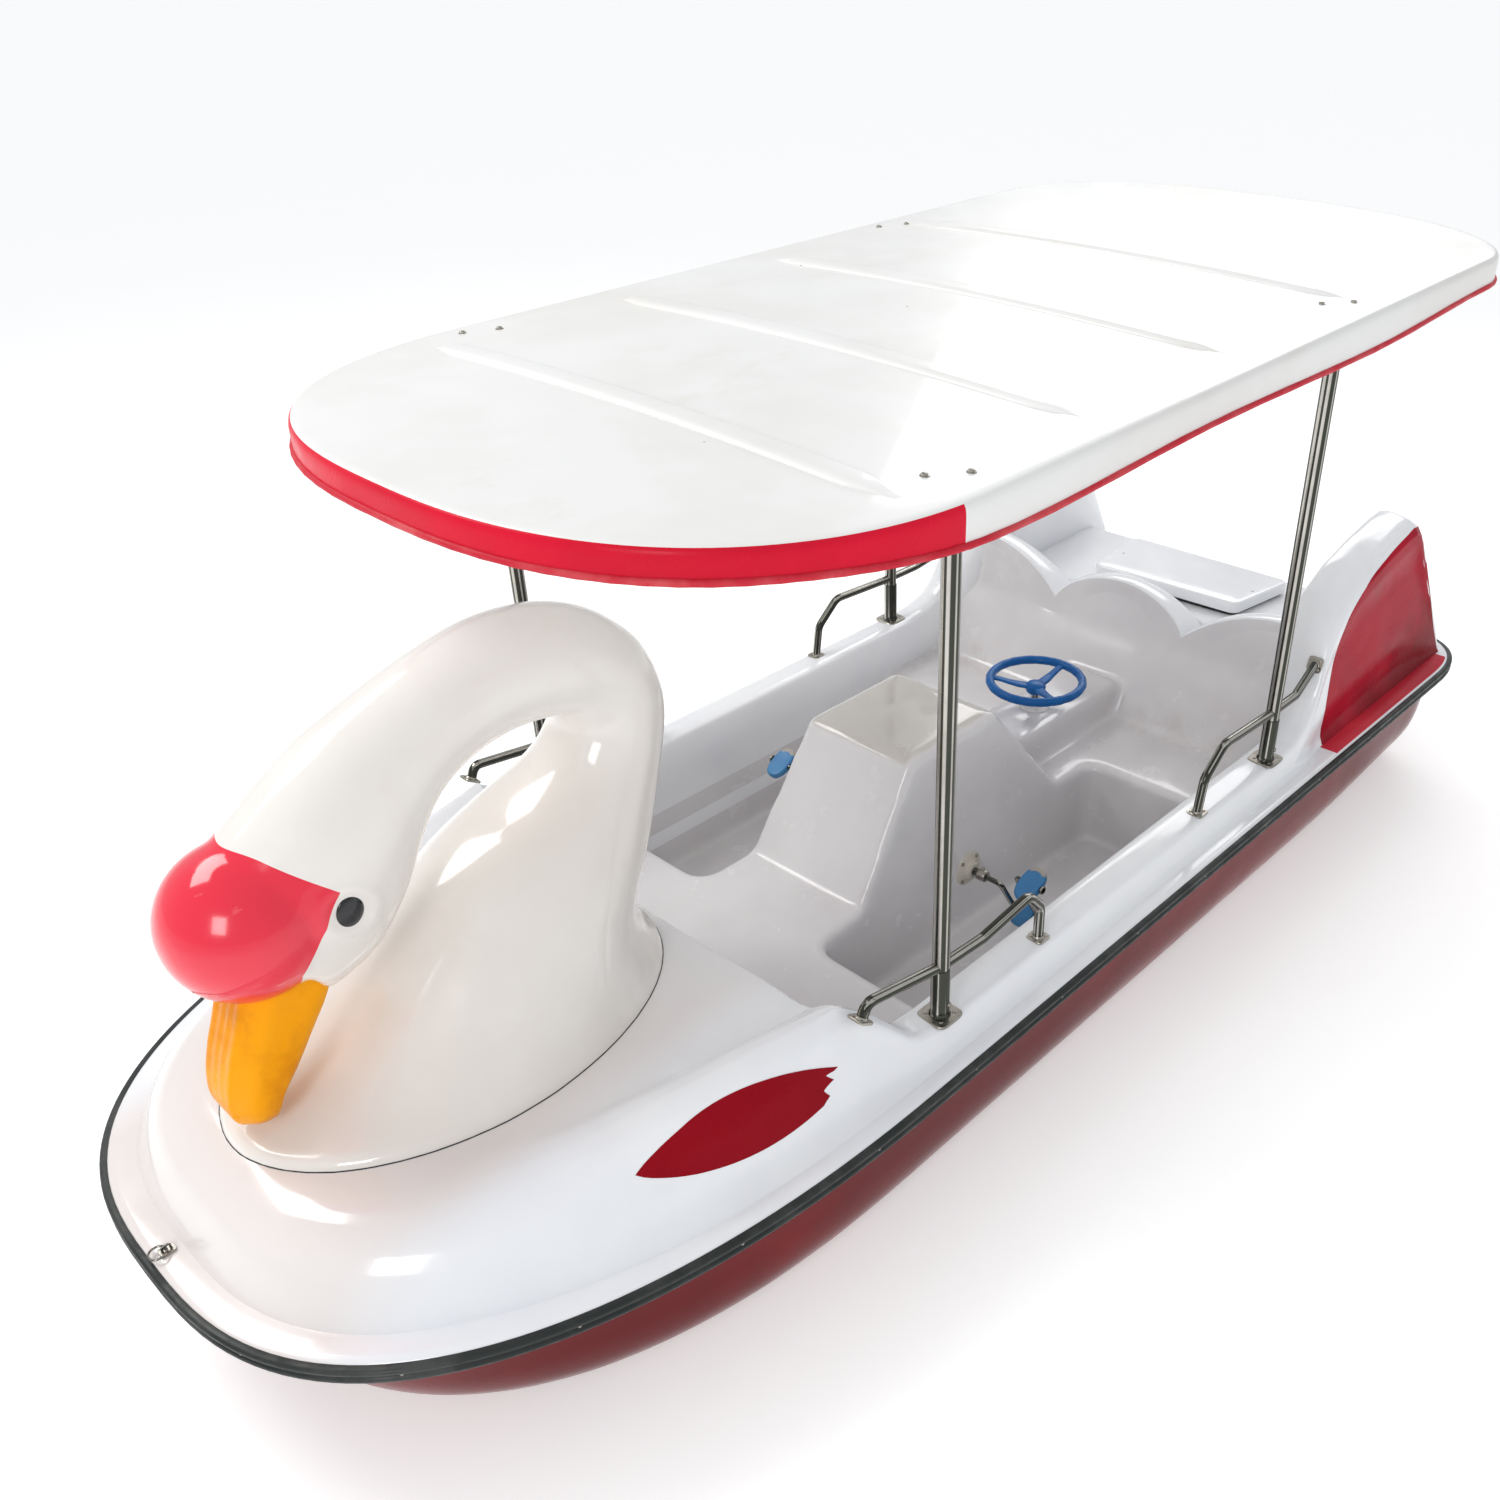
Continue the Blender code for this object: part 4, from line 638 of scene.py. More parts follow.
PEDAL_GREY = plastic("pedal_grip", (0.34, 0.31, 0.28), (0.46, 0.43, 0.39), (0.45, 0.65), 240.0, 0.3)
NYLON = plastic("bearing_nylon", (0.58, 0.54, 0.47), (0.34, 0.28, 0.21), (0.40, 0.62), 200.0, 0.2)
EYE = plastic("eye_gloss", (0.012, 0.012, 0.014), (0.025, 0.025, 0.027), (0.04, 0.10), 40.0, 0.02)
# The last colour of the steel is a painted reflection of darker surroundings, laid in streaks by the surface
# normal
STEEL = metal("polished_steel", (0.52, 0.50, 0.46), (0.40, 0.385, 0.35), (0.12, 0.26), (1.0, 1.0, 0.04), 0.05,
              (0.055, 0.058, 0.048))
WELD = metal("cast_steel", (0.42, 0.40, 0.36), (0.22, 0.20, 0.17), (0.22, 0.42), (1.0, 1.0, 1.0), 0.2)
ZINC = metal("galvanised", (0.46, 0.46, 0.44), (0.34, 0.34, 0.33), (0.35, 0.60), (1.0, 0.6, 1.0), 0.2)
STEEL_PAIR = [STEEL, WELD]


# ---------------------------------------------------------------- hull, flange and rubbing strip
def box_solid(low, high):
    low = Vector(low)
    high = Vector(high)
    ring = [(low.x, low.y), (high.x, low.y), (high.x, high.y), (low.x, high.y)]
    return loft([[(x, y, low.z) for x, y in ring], [(x, y, high.z) for x, y in ring]])


def hull_rows(levels):
    rows = []
    for half, bow, stern, z in levels:
        share = max(0.0, (-0.142 - z) / 0.513)
        row = []
        for x, y in whole_outline(half, bow, stern):
            point = place(x, y, z + share * ease(0.0, 0.08, (y - 2.5) / 1.2))
            point.z = max(point.z, 0.001)
            row.append(point)
        rows.append(row)
    return rows


def fill_across(row_start, count):
    """Faces across a closed outline, between its port and starboard halves."""
    faces = [(row_start, row_start + 1, row_start + count - 1)]
    half = count // 2
    for i in range(1, half - 1):
        faces.append((row_start + i, row_start + i + 1, row_start + count - i - 1, row_start + count - i))
    faces.append((row_start + half - 1, row_start + half, row_start + half + 1))
    return faces


def make_hull():
    knees = spline([
        (1.088, -1.995, 3.77, -0.146), (1.083, -1.965, 3.76, -0.22), (1.074, -1.925, 3.75, -0.31),
        (1.066, -1.885, 3.742, -0.40), (1.052, -1.835, 3.73, -0.485), (1.025, -1.765, 3.71, -0.56),
        (0.985, -1.67, 3.67, -0.615), (0.925, -1.54, 3.62, -0.645), (0.86, -1.42, 3.56, -0.6575),
    ], 3)
    levels = [(1.135, -2.04, 3.82, -0.132), (1.135, -2.04, 3.82, -0.139), (1.094, -2.0, 3.775, -0.142)]
    rows = hull_rows(levels + [tuple(level) for level in knees])
    points, faces = loft(rows, caps=False)
    count = len(rows[0])
    faces += fill_across(len(points) - count, count)
    hull = add_mesh("hull_moulding", [(points, faces)], [HULL_RED])
    shell(hull, 0.006)
    low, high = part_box("paddle_box")
    slot = box_solid((low[0] + 0.02, low[1] + 0.02, -0.05), (high[0] - 0.02, high[1] - 0.02, 0.03))
    carve(hull, add_mesh("slot", [slot], []))
    recess = box_solid(place(-0.20, 3.30, -0.80), place(0.20, 4.0, -0.43))
    # The rudder's recess is roofed and walled along the bottom's own line before it is opened
    side_view = ((3.29, -0.42), (3.29, -0.590), (3.55, -0.572), (3.62, -0.558), (3.665, -0.532),
                 (3.70, -0.482), (3.722, -0.42))
    walls = loft([[place(x, y, z) for y, z in side_view] for x in (-0.21, 0.21)])
    carve(hull, add_mesh("recess_walls", [walls], []), "UNION")
    carve(hull, add_mesh("recess", [recess], []))
    settle(hull, "boat", "red_gelcoat", "hull_shell")


def outline_ring(inset, z):
    return [place(x, y, z) for x, y in whole_outline(RIM_HALF - inset, RIM_BOW + inset, RIM_STERN - inset)]


def make_rubbing_strip():
    profile = spline([
        (0.004, -0.1555), (-0.009, -0.156), (-0.0155, -0.152), (-0.0178, -0.145),
        (-0.0155, -0.138), (-0.0115, -0.1345), (-0.0115, -0.1295), (-0.0155, -0.126),
        (-0.0178, -0.119), (-0.0155, -0.112), (-0.008, -0.1085), (0.004, -0.1085),
    ], 2)
    sections = list(zip(*[outline_ring(inset, z) for inset, z in profile]))
    strip = [loft(sections, closed_rows=True)]
    piece("rub_rail_strip", strip, RUBBER, "black_rubber", ["rub_rail"])
    outline = whole_outline(RIM_HALF + 0.0115, RIM_BOW - 0.0115, RIM_STERN + 0.0115)
    heads = []
    travelled = 0.0
    for (x0, y0), (x1, y1) in zip(outline, outline[1:] + outline[:1]):
        travelled += math.hypot(x1 - x0, y1 - y0)
        if travelled > 0.42:
            travelled = 0.0
            out = Vector((y1 - y0, x0 - x1, 0.0)).normalized()
            heads.append(screw_head(place(x1, y1, -0.132), out, 0.0030, 0.0016))
    piece("rub_rail_rivets", heads, WELD, "stainless_steel")


def make_flange():
    """The deck's flange, all the way round, wide under the stern."""
    def row(inset, wide, z):
        outline = whole_outline(RIM_HALF, RIM_BOW, RIM_STERN)
        made = []
        for x, y in outline:
            spine = Vector((0.0, min(max(y, SPINE_FRONT), 3.1)))
            inward = (spine - Vector((x, y))).normalized()
            reach = inset + wide * ease(0.0, 0.30, (y - 2.46) / 0.16)
            made.append(place(x + inward.x * reach, y + inward.y * reach, z))
        return made

    top = RIM_Z + 0.016
    rows = [row(0.0, 0, RIM_Z - 0.012), row(0.0, 0, RIM_Z), row(0.004, 0, RIM_Z + 0.010),
            row(0.010, 0, RIM_Z + 0.0145), row(0.03, 0, top), row(0.07, 0, top),
            row(0.125, 1, top), row(0.125, 1, RIM_Z - 0.012)]
    sections = list(zip(*rows))
    # Closes the corners left open between the flange and the raised deck's after edge
    step = box_solid(place(-0.79, 3.30, top - 0.016), place(0.79, 3.62, top - 0.002))
    piece("deck_flange", [loft(sections, closed_rows=True), step], WHITE, "white_gelcoat", ["rear_deck"])


# ---------------------------------------------------------------- deck, gunwales and tail wings
WING_HEIGHT = (
    (2.11, 0.0), (2.20, 0.010), (2.30, 0.045), (2.36, 0.098), (2.40, 0.168), (2.43, 0.245), (2.47, 0.335),
    (2.52, 0.415), (2.60, 0.482), (2.74, 0.552), (2.95, 0.607), (3.14, 0.640), (3.22, 0.645), (3.27, 0.620),
    (3.32, 0.540), (3.475, 0.257), (3.61, 0.0), (3.65, -0.09),
)
# The outer face of the deck, from the flange to the crest: (distance in from the rim, height)
FACES = (
    (-2.05, ((0.085, -0.106), (0.110, -0.062), (0.175, 0.040), (0.250, 0.090), (0.295, 0.103),
             (0.345, 0.107))),
    (-1.60, ((0.085, -0.106), (0.110, -0.062), (0.175, 0.040), (0.250, 0.093), (0.295, 0.107),
             (0.345, 0.112))),
    (-1.30, ((0.074, -0.106), (0.100, -0.066), (0.160, 0.040), (0.235, 0.106), (0.285, 0.126),
             (0.335, 0.132))),
    (-0.95, ((0.062, -0.106), (0.094, -0.072), (0.143, 0.030), (0.193, 0.122), (0.240, 0.160),
             (0.312, 0.172))),
    (-0.60, ((0.057, -0.106), (0.090, -0.080), (0.137, 0.020), (0.183, 0.126), (0.220, 0.182),
             (0.268, 0.200))),
    (-0.36, ((0.055, -0.106), (0.088, -0.085), (0.130, 0.015), (0.172, 0.118), (0.198, 0.190),
             (0.222, 0.216))),
    (-0.24, ((0.055, -0.106), (0.083, -0.085), (0.112, -0.020), (0.140, 0.050), (0.160, 0.100),
             (0.185, 0.122))),
    (-0.14, ((0.055, -0.106), (0.077, -0.082), (0.089, -0.052), (0.101, -0.024), (0.113, -0.002),
             (0.137, 0.012))),
    (-0.02, ((0.055, -0.106), (0.075, -0.080), (0.083, -0.056), (0.092, -0.030), (0.103, -0.007),
             (0.125, 0.0))),
)


def side_height(y):
    for (y0, z0), (y1, z1) in zip(WING_HEIGHT, WING_HEIGHT[1:]):
        if y <= y1:
            return z0 + (z1 - z0) * max(0.0, (y - y0) / (y1 - y0))
    return WING_HEIGHT[-1][1]


def outer_face(y):
    """Control points of the deck's outer face at a station."""
    if y < -0.02:
        for (y0, first), (y1, second) in zip(FACES, FACES[1:]):
            if y <= y1:
                share = max(0.0, (y - y0) / (y1 - y0))
                return np.array(first) + (np.array(second) - np.array(first)) * share
    height = side_height(y)
    plain = np.array(FACES[-1][1])
    plain[2:, 1] += height * np.array([0.35, 0.7, 0.94, 1.0])
    plain[2:, 0] += height * np.array([0.05, 0.10, 0.14, 0.20])
    rise = height + 0.1
    wing = np.array([(0.060 + 0.11 * share * rise + 0.034, share * rise - 0.1)
                     for share in (0, 0, 0.35, 0.70)]
                    + [(0.095 + 0.11 * rise, height - 0.010), (0.125 + 0.11 * rise, height + 0.006)])
    wing[0] = (0.085, -0.106)
    wing[1] = (0.092, -0.098)
    return ease(plain, wing, (y - 2.20) / 0.22)


def inner_side(y):
    """Control points from the crest in and down: to the cockpit wall, or to the wing's inner side."""
    nose = [(-0.36, 0.210), (-0.24, 0.120), (-0.14, 0.010), (-0.02, 0.0)]
    height = side_height(y) if y > -0.02 else along(nose, y)
    plain = np.array([(0.206, height), (0.222, height - 0.006), (0.236, height - 0.026),
                      (0.254, -0.30), (0.259, -0.45)])
    if y < -0.02:
        plain[0, 0] += 0.022 * max(0.0, height / 0.21)
        plain[1, 0] += 0.010 * max(0.0, height / 0.21)
    wing = np.array([(0.300, height + 0.020), (0.338, height + 0.008), (0.354, height - 0.02),
                     (0.358, 0.0), (0.358, -0.12)])
    return ease(plain, wing, (y - 2.30) / 0.20)


def row_points(x, y, side, profile):
    """Points of a profile laid inwards from the rim point towards the boat's spine."""
    spine = Vector((0.0, max(y, SPINE_FRONT)))
    inward = (spine - Vector((x, y))).normalized()
    return [place((x + inward.x * d) * side, y + inward.y * d, z) for d, z in profile]


def deck_tail(x, y, side):
    """From the crest of the foredeck in to the boat's spine."""
    crest = outer_face(y)[-1]
    spine = Vector((0.0, max(y, SPINE_FRONT)))
    length = (spine - Vector((x, y))).length
    valley = along([(-1.3, 0.112), (COCKPIT_FRONT, 0.130)], y)
    profile = [
        tuple(crest),
        (crest[0] + 0.055, crest[1] + (valley - crest[1]) * 0.30),
        (crest[0] + 0.120, crest[1] + (valley - crest[1]) * 0.88),
    ]
    rest = length - profile[-1][0]
    profile += [(profile[-1][0] + rest * 0.25, valley),
                (profile[-1][0] + rest * 0.6, ease(valley, DECK_Z, 0.7)),
                (length, DECK_Z)]
    return row_points(x, y, side, spline(profile, 4))


def make_deck():
    bow = [(0.0001, RIM_BOW)] + bow_points(RIM_HALF, RIM_BOW, BOW_START, 56)
    bow = [(x, y) for x, y in bow if abs(y - COCKPIT_FRONT) > 0.012]
    span = BOW_START - RIM_BOW
    edge = RIM_HALF * (1.0 - ((BOW_START - COCKPIT_FRONT) / span) ** 2.35) ** (1 / 2.75)
    bow.append((edge, COCKPIT_FRONT))
    bow.sort(key=lambda point: point[1])
    side_y = [-0.12, -0.09, -0.06, -0.02]
    side_y += list(np.arange(0.1, 2.1, 0.1)) + list(np.arange(2.11, 2.62, 0.0125))
    side_y += list(np.arange(2.64, 3.18, 0.05)) + list(np.arange(3.18, 3.645, 0.0125))
    stations = bow + [(RIM_HALF, y) for y in side_y]
    fore = [(x, y) for x, y in stations if y <= COCKPIT_FRONT + 0.001]
    aft = [(x, y) for x, y in stations if y >= COCKPIT_FRONT - 0.001]

    both = [(x, y, 1) for x, y in reversed(stations)] + [(x, y, -1) for x, y in stations[1:]]
    outer = grid([row_points(x, y, side, spline(outer_face(y), 4)) for x, y, side in both])
    both = [(x, y, 1) for x, y in reversed(fore)] + [(x, y, -1) for x, y in fore[1:]]
    tails = [deck_tail(x, y, side) for x, y, side in both]
    solids = [outer, grid(tails)]
    for side, _ in SIDES:
        rows = []
        for x, y in aft:
            crest = tuple(outer_face(y)[-1])
            profile = spline([crest] + [tuple(point) for point in inner_side(y)], 4)
            rows.append(row_points(x, y, side, profile))
        if side < 0:
            solids.append(grid(rows))
        else:
            solids.append(grid(list(reversed(rows))))
    edge_row = tails[0] + list(reversed(tails[-1]))[1:]
    roll = ((0.0, 0.0), (0.004, -0.001), (0.0085, -0.005), (0.011, -0.012), (0.013, -0.03), (0.018, -0.06))
    solids.append(grid([[point + Vector((0, dy, dz)) for point in edge_row] for dy, dz in reversed(roll)]))
    deck = add_mesh("deck_moulding", solids, [WHITE], closed=False, sharp=60.0)
    bm = bmesh.new()
    bm.from_mesh(deck.data)
    bmesh.ops.remove_doubles(bm, verts=bm.verts, dist=0.0004)
    bmesh.ops.recalc_face_normals(bm, faces=bm.faces)
    highest = max(bm.faces, key=lambda face: face.calc_center_median().z)
    if highest.normal.z < 0:
        bmesh.ops.reverse_faces(bm, faces=bm.faces)
    bm.to_mesh(deck.data)
    bm.free()
    tree = surface_tree(deck)
    shell(deck, 0.004)
    finish_shading(deck, 60.0)
    settle(deck, "boat", "white_gelcoat", "foredeck", "side_deck_port", "side_deck_starboard",
           "tail_wing_port", "tail_wing_starboard")
    return tree


def film(name, tree, rows, ray, surface):
    """A thin painted film laid on the moulding: each point is cast along a ray onto it."""
    outer = []
    inner = []
    ray = Vector(ray)
    for row in rows:
        hits = []
        for point in row:
            hit, normal, _, _ = tree.ray_cast(Vector(point) - ray, ray)
            if hit is None:
                hit, normal, _, _ = tree.find_nearest(Vector(point) + ray / 2)
            if normal.dot(ray) > 0:
                normal = -normal
            hits.append((hit, normal))
        outer.append([hit + normal * 0.0007 for hit, normal in hits])
        inner.append([hit - normal * 0.002 for hit, normal in hits])
    rings = [row + list(reversed(back)) for row, back in zip(outer, inner)]
    piece(name, [loft(rings)], surface, "red_gelcoat", sharp=50.0)


def make_paintwork(tree):
    for side, label in SIDES:
        reach = (-side * 0.4, 0, 0)
        tips = ((0.0, -0.452), (0.12, -0.433), (0.27, -0.482), (0.30, -0.480), (0.50, -0.460), (0.66, -0.505),
                (0.70, -0.503), (0.90, -0.490), (1.0, -0.520))
        rows = []
        for step in range(41):
            s = step / 40
            for (s0, y0), (s1, y1) in zip(tips, tips[1:]):
                if s0 <= s <= s1:
                    end = y0 + (y1 - y0) * (s - s0) / (s1 - s0)
            row = []
            for k in range(37):
                t = k / 36
                y = -1.092 + (end + 1.092) * t
                full = min(1.0, (y + 1.092) / 0.64)
                upper = 0.089 + 0.112 * math.sin(full * math.pi * 0.62) ** 0.85 - 0.110 * full**2.2
                lower = 0.089 - 0.128 * math.sin(full * math.pi * 0.60) ** 0.80 + 0.050 * full**2.0
                row.append(place(side * 1.3, y, upper + (lower - upper) * s))
            rows.append(row)
        film(f"feather_{label}", tree, rows, reach, FEATHER_RED)

        front = spline([(2.462, -0.1035), (2.470, 0.0), (2.486, 0.10), (2.528, 0.27), (2.592, 0.400),
                        (2.72, 0.495),
                        (2.93, 0.568), (3.11, 0.606), (3.21, 0.622)], 6)
        rows = []
        for y_front, z in front:
            z_rear = min(z, 0.612)
            rear = 3.632 - 0.520 * (z_rear + 0.094)
            rows.append([place(side * 1.3, y_front + (rear - y_front) * k / 40, z + (z_rear - z) * k / 40)
                         for k in range(41)])
        film(f"wing_panel_{label}", tree, rows, reach, WING_RED)

    for side, label in SIDES:
        top = RIM_Z + 0.016
        rings = []
        for k in range(61):
            y = 2.445 + (3.60 - 2.445) * k / 60
            rim = RIM_HALF
            if y > STERN_START:
                rim *= (1.0 - ((y - STERN_START) / (RIM_STERN - STERN_START)) ** 2.6) ** (1 / 7.0)
            outer = rim - 0.014
            inner = min(1.050, outer - 0.01)
            rings.append([place(x * side, y, z) for x, z in (
                (inner, top - 0.004), (inner, top + 0.0022), (outer - 0.006, top + 0.0022),
                (outer, top - 0.001),
                (outer, top - 0.006))])
        piece(f"flange_strip_{label}", [loft(rings)], STRIP_RED, "red_gelcoat")


# ---------------------------------------------------------------- cockpit
WALL = 0.034


def wall_band(path, top, foot, inward):
    """An upright wall of even thickness along a plan path; the thickness lies to one side of it."""
    rings = []
    for i, point in enumerate(path):
        before = Vector(path[max(i - 1, 0)])
        after = Vector(path[min(i + 1, len(path) - 1)])
        heading = (after - before).normalized()
        side = Vector((-heading.y, heading.x)) * WALL * inward
        x, y = point
        rings.append([place(x, y, top), place(x, y, foot), place(x + side.x, y + side.y, foot),
                      place(x + side.x, y + side.y, top)])
    return loft(rings)


def tray(rings):
    """A box open below: closed rings of (x, y, z) from the top down, walls of even thickness."""
    outer = [[place(*point) for point in ring] for ring in rings]
    inner = []
    for index, ring in enumerate(rings):
        middle_x = sum(point[0] for point in ring) / len(ring)
        middle_y = sum(point[1] for point in ring) / len(ring)
        drop = WALL if index == 0 else 0.0
        inner.append([place(x - math.copysign(WALL, x - middle_x), y - math.copysign(WALL, y - middle_y),
                            z - drop)
                      for x, y, z in ring])
    return loft(outer + list(reversed(inner)))


CUSP = 0.337


def lip_height(x):
    """The scalloped top of the rear backrest: cusps either side of a middle arch."""
    x = abs(x)
    if x < CUSP:
        return 0.178 + 0.164 * (1.0 - (x / CUSP) ** 2) ** 0.72
    share = min(1.0, (x - CUSP) / 0.50)
    return 0.178 + 0.200 * (1.0 - (1.0 - share) ** 2.3)


def bench_solids(edge, stem, back, sign):
    """A bench: its top with a tongue to the paddle box, and its wall down to the floor."""
    corner = 0.07
    path = [(0.93, edge)]
    turn = bent([(0.93, edge, 0), (0.312, edge, 0), (0.305, stem, 0)], corner, 8)
    path = [(point.x, point.y) for point in turn]
    path += [(-x, y) for x, y in reversed(path)]
    outline = path + [(-0.93, back), (0.93, back)]
    top = loft([[place(x, y, SEAT_Z) for x, y in outline], [place(x, y, SEAT_Z - WALL) for x, y in outline]])
    half = len(path) // 2
    walls = [wall_band(path[:half], SEAT_Z, FLOOR_Z - WALL, sign),
             wall_band(path[half:], SEAT_Z, FLOOR_Z - WALL, sign)]
    return [top] + walls


def make_liner():
    solids = []
    solids += bench_solids(0.165, 0.415, -0.33, 1)
    solids += bench_solids(1.84, 1.61, 2.34, -1)
    for side, _ in SIDES:
        low = place(min(0.27 * side, 0.93 * side), 0.12, FLOOR_Z - WALL)
        high = place(max(0.27 * side, 0.93 * side), 1.88, FLOOR_Z)
        solids.append(box_solid(low, high))
        wall = [(0.912, -0.03), (0.902, -0.12), (0.8845, -0.30), (0.8790, FLOOR_Z - WALL)]
        rows = [[place(x * side, y, z) for y in (-0.37, 2.46)] for x, z in wall]
        solids.append(thick(rows, (WALL * side, 0, 0)))
    front = [(-0.352, 0.07), (-0.338, 0.02), (-0.318, -0.08), (-0.302, -0.20), (-0.298, FLOOR_Z - WALL)]
    rows = [[place(x, y, z) for x in (-0.92, 0.92)] for y, z in front]
    solids.append(thick(rows, (0, -WALL, 0)))
    box_rings = []
    for z, half, y0, y1 in ((0.285, 0.262, 0.726, 1.227), (SEAT_Z, 0.299, 0.41, 1.62),
                            (FLOOR_Z - WALL, 0.305, 0.41, 1.62)):
        box_rings.append([(half, y0, z), (half, y1, z), (-half, y1, z), (-half, y0, z)])
    solids.append(tray(box_rings))
    solids.append(box_solid(place(-0.145, 1.60, SEAT_Z - WALL), place(0.145, 2.30, -0.045)))
    ramp = [(1.42, 0.03), (1.50, -0.01), (1.60, -0.038), (1.72, -0.045)]
    rows = [[place(x, y, z) for x in (-0.145, 0.145)] for y, z in ramp]
    solids.append(thick(rows, (0, 0, -0.09)))
    rows = []
    for x in np.linspace(-0.90, 0.90, 91):
        crest = lip_height(x) - 0.012
        rows.append([
            place(x, 2.245, SEAT_Z - 0.01), place(x, 2.31, -0.09), place(x, 2.38, 0.03),
            place(x, 2.442, 0.12),
            place(x, 2.478, crest - 0.035), place(x, 2.500, crest - 0.008), place(x, 2.53, crest),
            place(x, 2.60, crest - 0.04),
        ])
    solids.append(thick(rows, (0, 0.036, -0.038)))
    liner = add_mesh("cockpit_moulding", solids, [LINER])

    crest_y = place(0, 2.515, 0).y
    crest_z = place(0, 0, 0.15).z

    def weight(co):
        near = (np.abs(co[:, 1] - crest_y) < 0.05) & (co[:, 2] > crest_z)
        return np.where(near, 0.35, 1.0)

    fuse(liner, 0.0095, 14, 0.5, weight)
    settle(liner, "boat", "liner_gelcoat", "front_backrest", "front_bench", "rear_bench",
           "footwell_floor_port",
           "footwell_floor_starboard", "paddle_box", "helm_pedestal", "rear_backrest")
    studs = [screw_head(place(x, y, z), (0, -0.85, 0.5), 0.0045, 0.003)
             for x, y, z in ((0.165, 2.338, -0.075), (0.205, 2.296, -0.140))]
    piece("seat_studs", studs, ROOF, "white_gelcoat")


def lean_back(z):
    """How far aft the rear seat back's face stands at a height."""
    return 2.490 - 0.110 * math.exp((0.02 - z) / 0.13)


def make_rear_top():
    """The scalloped edge of the rear seat back and the raised deck that runs aft from it."""
    fine = list(np.linspace(0.0, CUSP, 29)) + [CUSP + 0.006, CUSP + 0.014]
    fine += list(np.linspace(CUSP + 0.03, 0.81, 30))
    rows = []
    for x in [-x for x in reversed(fine[1:])] + fine:
        crest = lip_height(x)
        low = DECK_TOP + 0.30 * (crest - DECK_TOP)
        wall = [0.02 + (crest - 0.05) * share for share in (0.0, 0.2, 0.4, 0.6, 0.8, 1.0)]
        edge = lean_back(crest)
        profile = [(2.372, -0.055)] + [(lean_back(z), z) for z in wall] + [
            (edge, crest - 0.012), (edge + 0.003, crest - 0.004), (edge + 0.012, crest),
            (2.56, crest - 0.006), (2.610, crest + (low - crest) * 0.20), (2.665, low),
            (2.72, DECK_TOP + 0.25 * (low - DECK_TOP)), (2.78, DECK_TOP), (3.0, DECK_TOP),
            (3.2, DECK_TOP), (3.385, DECK_TOP), (3.405, DECK_TOP - 0.004),
            (3.414, DECK_TOP - 0.014), (3.418, DECK_TOP - 0.04), (3.420, -0.102),
        ]
        rows.append([place(x, y, z) for y, z in spline(profile, 2)])
    points, faces = thick(rows, (0, 0.010, -0.014))
    count = len(rows[0])
    skins = 2 * count
    # Painted light and shade: the upright face of the seat back takes the greyer liner resin and the raised
    # deck the whiter resin, so the top reads lit and the face shaded
    slots = [1 if i < len(faces) - 2 and i % skins < 15 else 0 for i in range(len(faces))]
    piece("rear_top", [(points, faces, slots)], [WHITE, LINER], "liner_gelcoat", sharp=50.0)


def make_hatch():
    def ring(grow, z):
        corners = [(-0.388 - grow, 2.866 - grow), (0.360 + grow, 2.888 - grow), (0.420 + grow, 3.275 + grow),
                   (-0.424 - grow, 3.278 + grow)]
        return [place(x, y, z) for x, y in rounded(corners, 0.035 + max(grow, -0.02))]

    lid = loft([ring(0.004, 0.144), ring(0.009, 0.147), ring(0.009, 0.184), ring(0.006, 0.191),
                ring(0.0, 0.1955),
                ring(-0.008, 0.197), ring(-0.10, 0.1975)])
    piece("hatch_lid", [lid], WHITE, "white_gelcoat", ["hatch_cover"])
    seal = loft([ring(-0.008, 0.126), ring(-0.008, 0.148)])
    piece("hatch_seal", [seal], RUBBER, "black_rubber")
    for side, label in SIDES:
        spot = place(0.354 * side, 3.058, 0.196)
        piece(f"hatch_screw_{label}_head", [screw_head(spot, (0, 0, 1), 0.005, 0.0022)], WELD,
              "stainless_steel",
              [f"hatch_screw_{label}"])
    # Painted shade: a black body lying in the deck slot ahead of the lid stands in for the shade inside the
    # slot's hollow
    path = [place(-0.36 + 0.012 * k, 2.805, 0.131) for k in range(8)]
    piece("hatch_slot_shade", [tube(path, [0.003, 0.006, 0.0065, 0.0065, 0.0065, 0.0065, 0.006, 0.003],
                                    14)], RUBBER,
          "black_rubber")


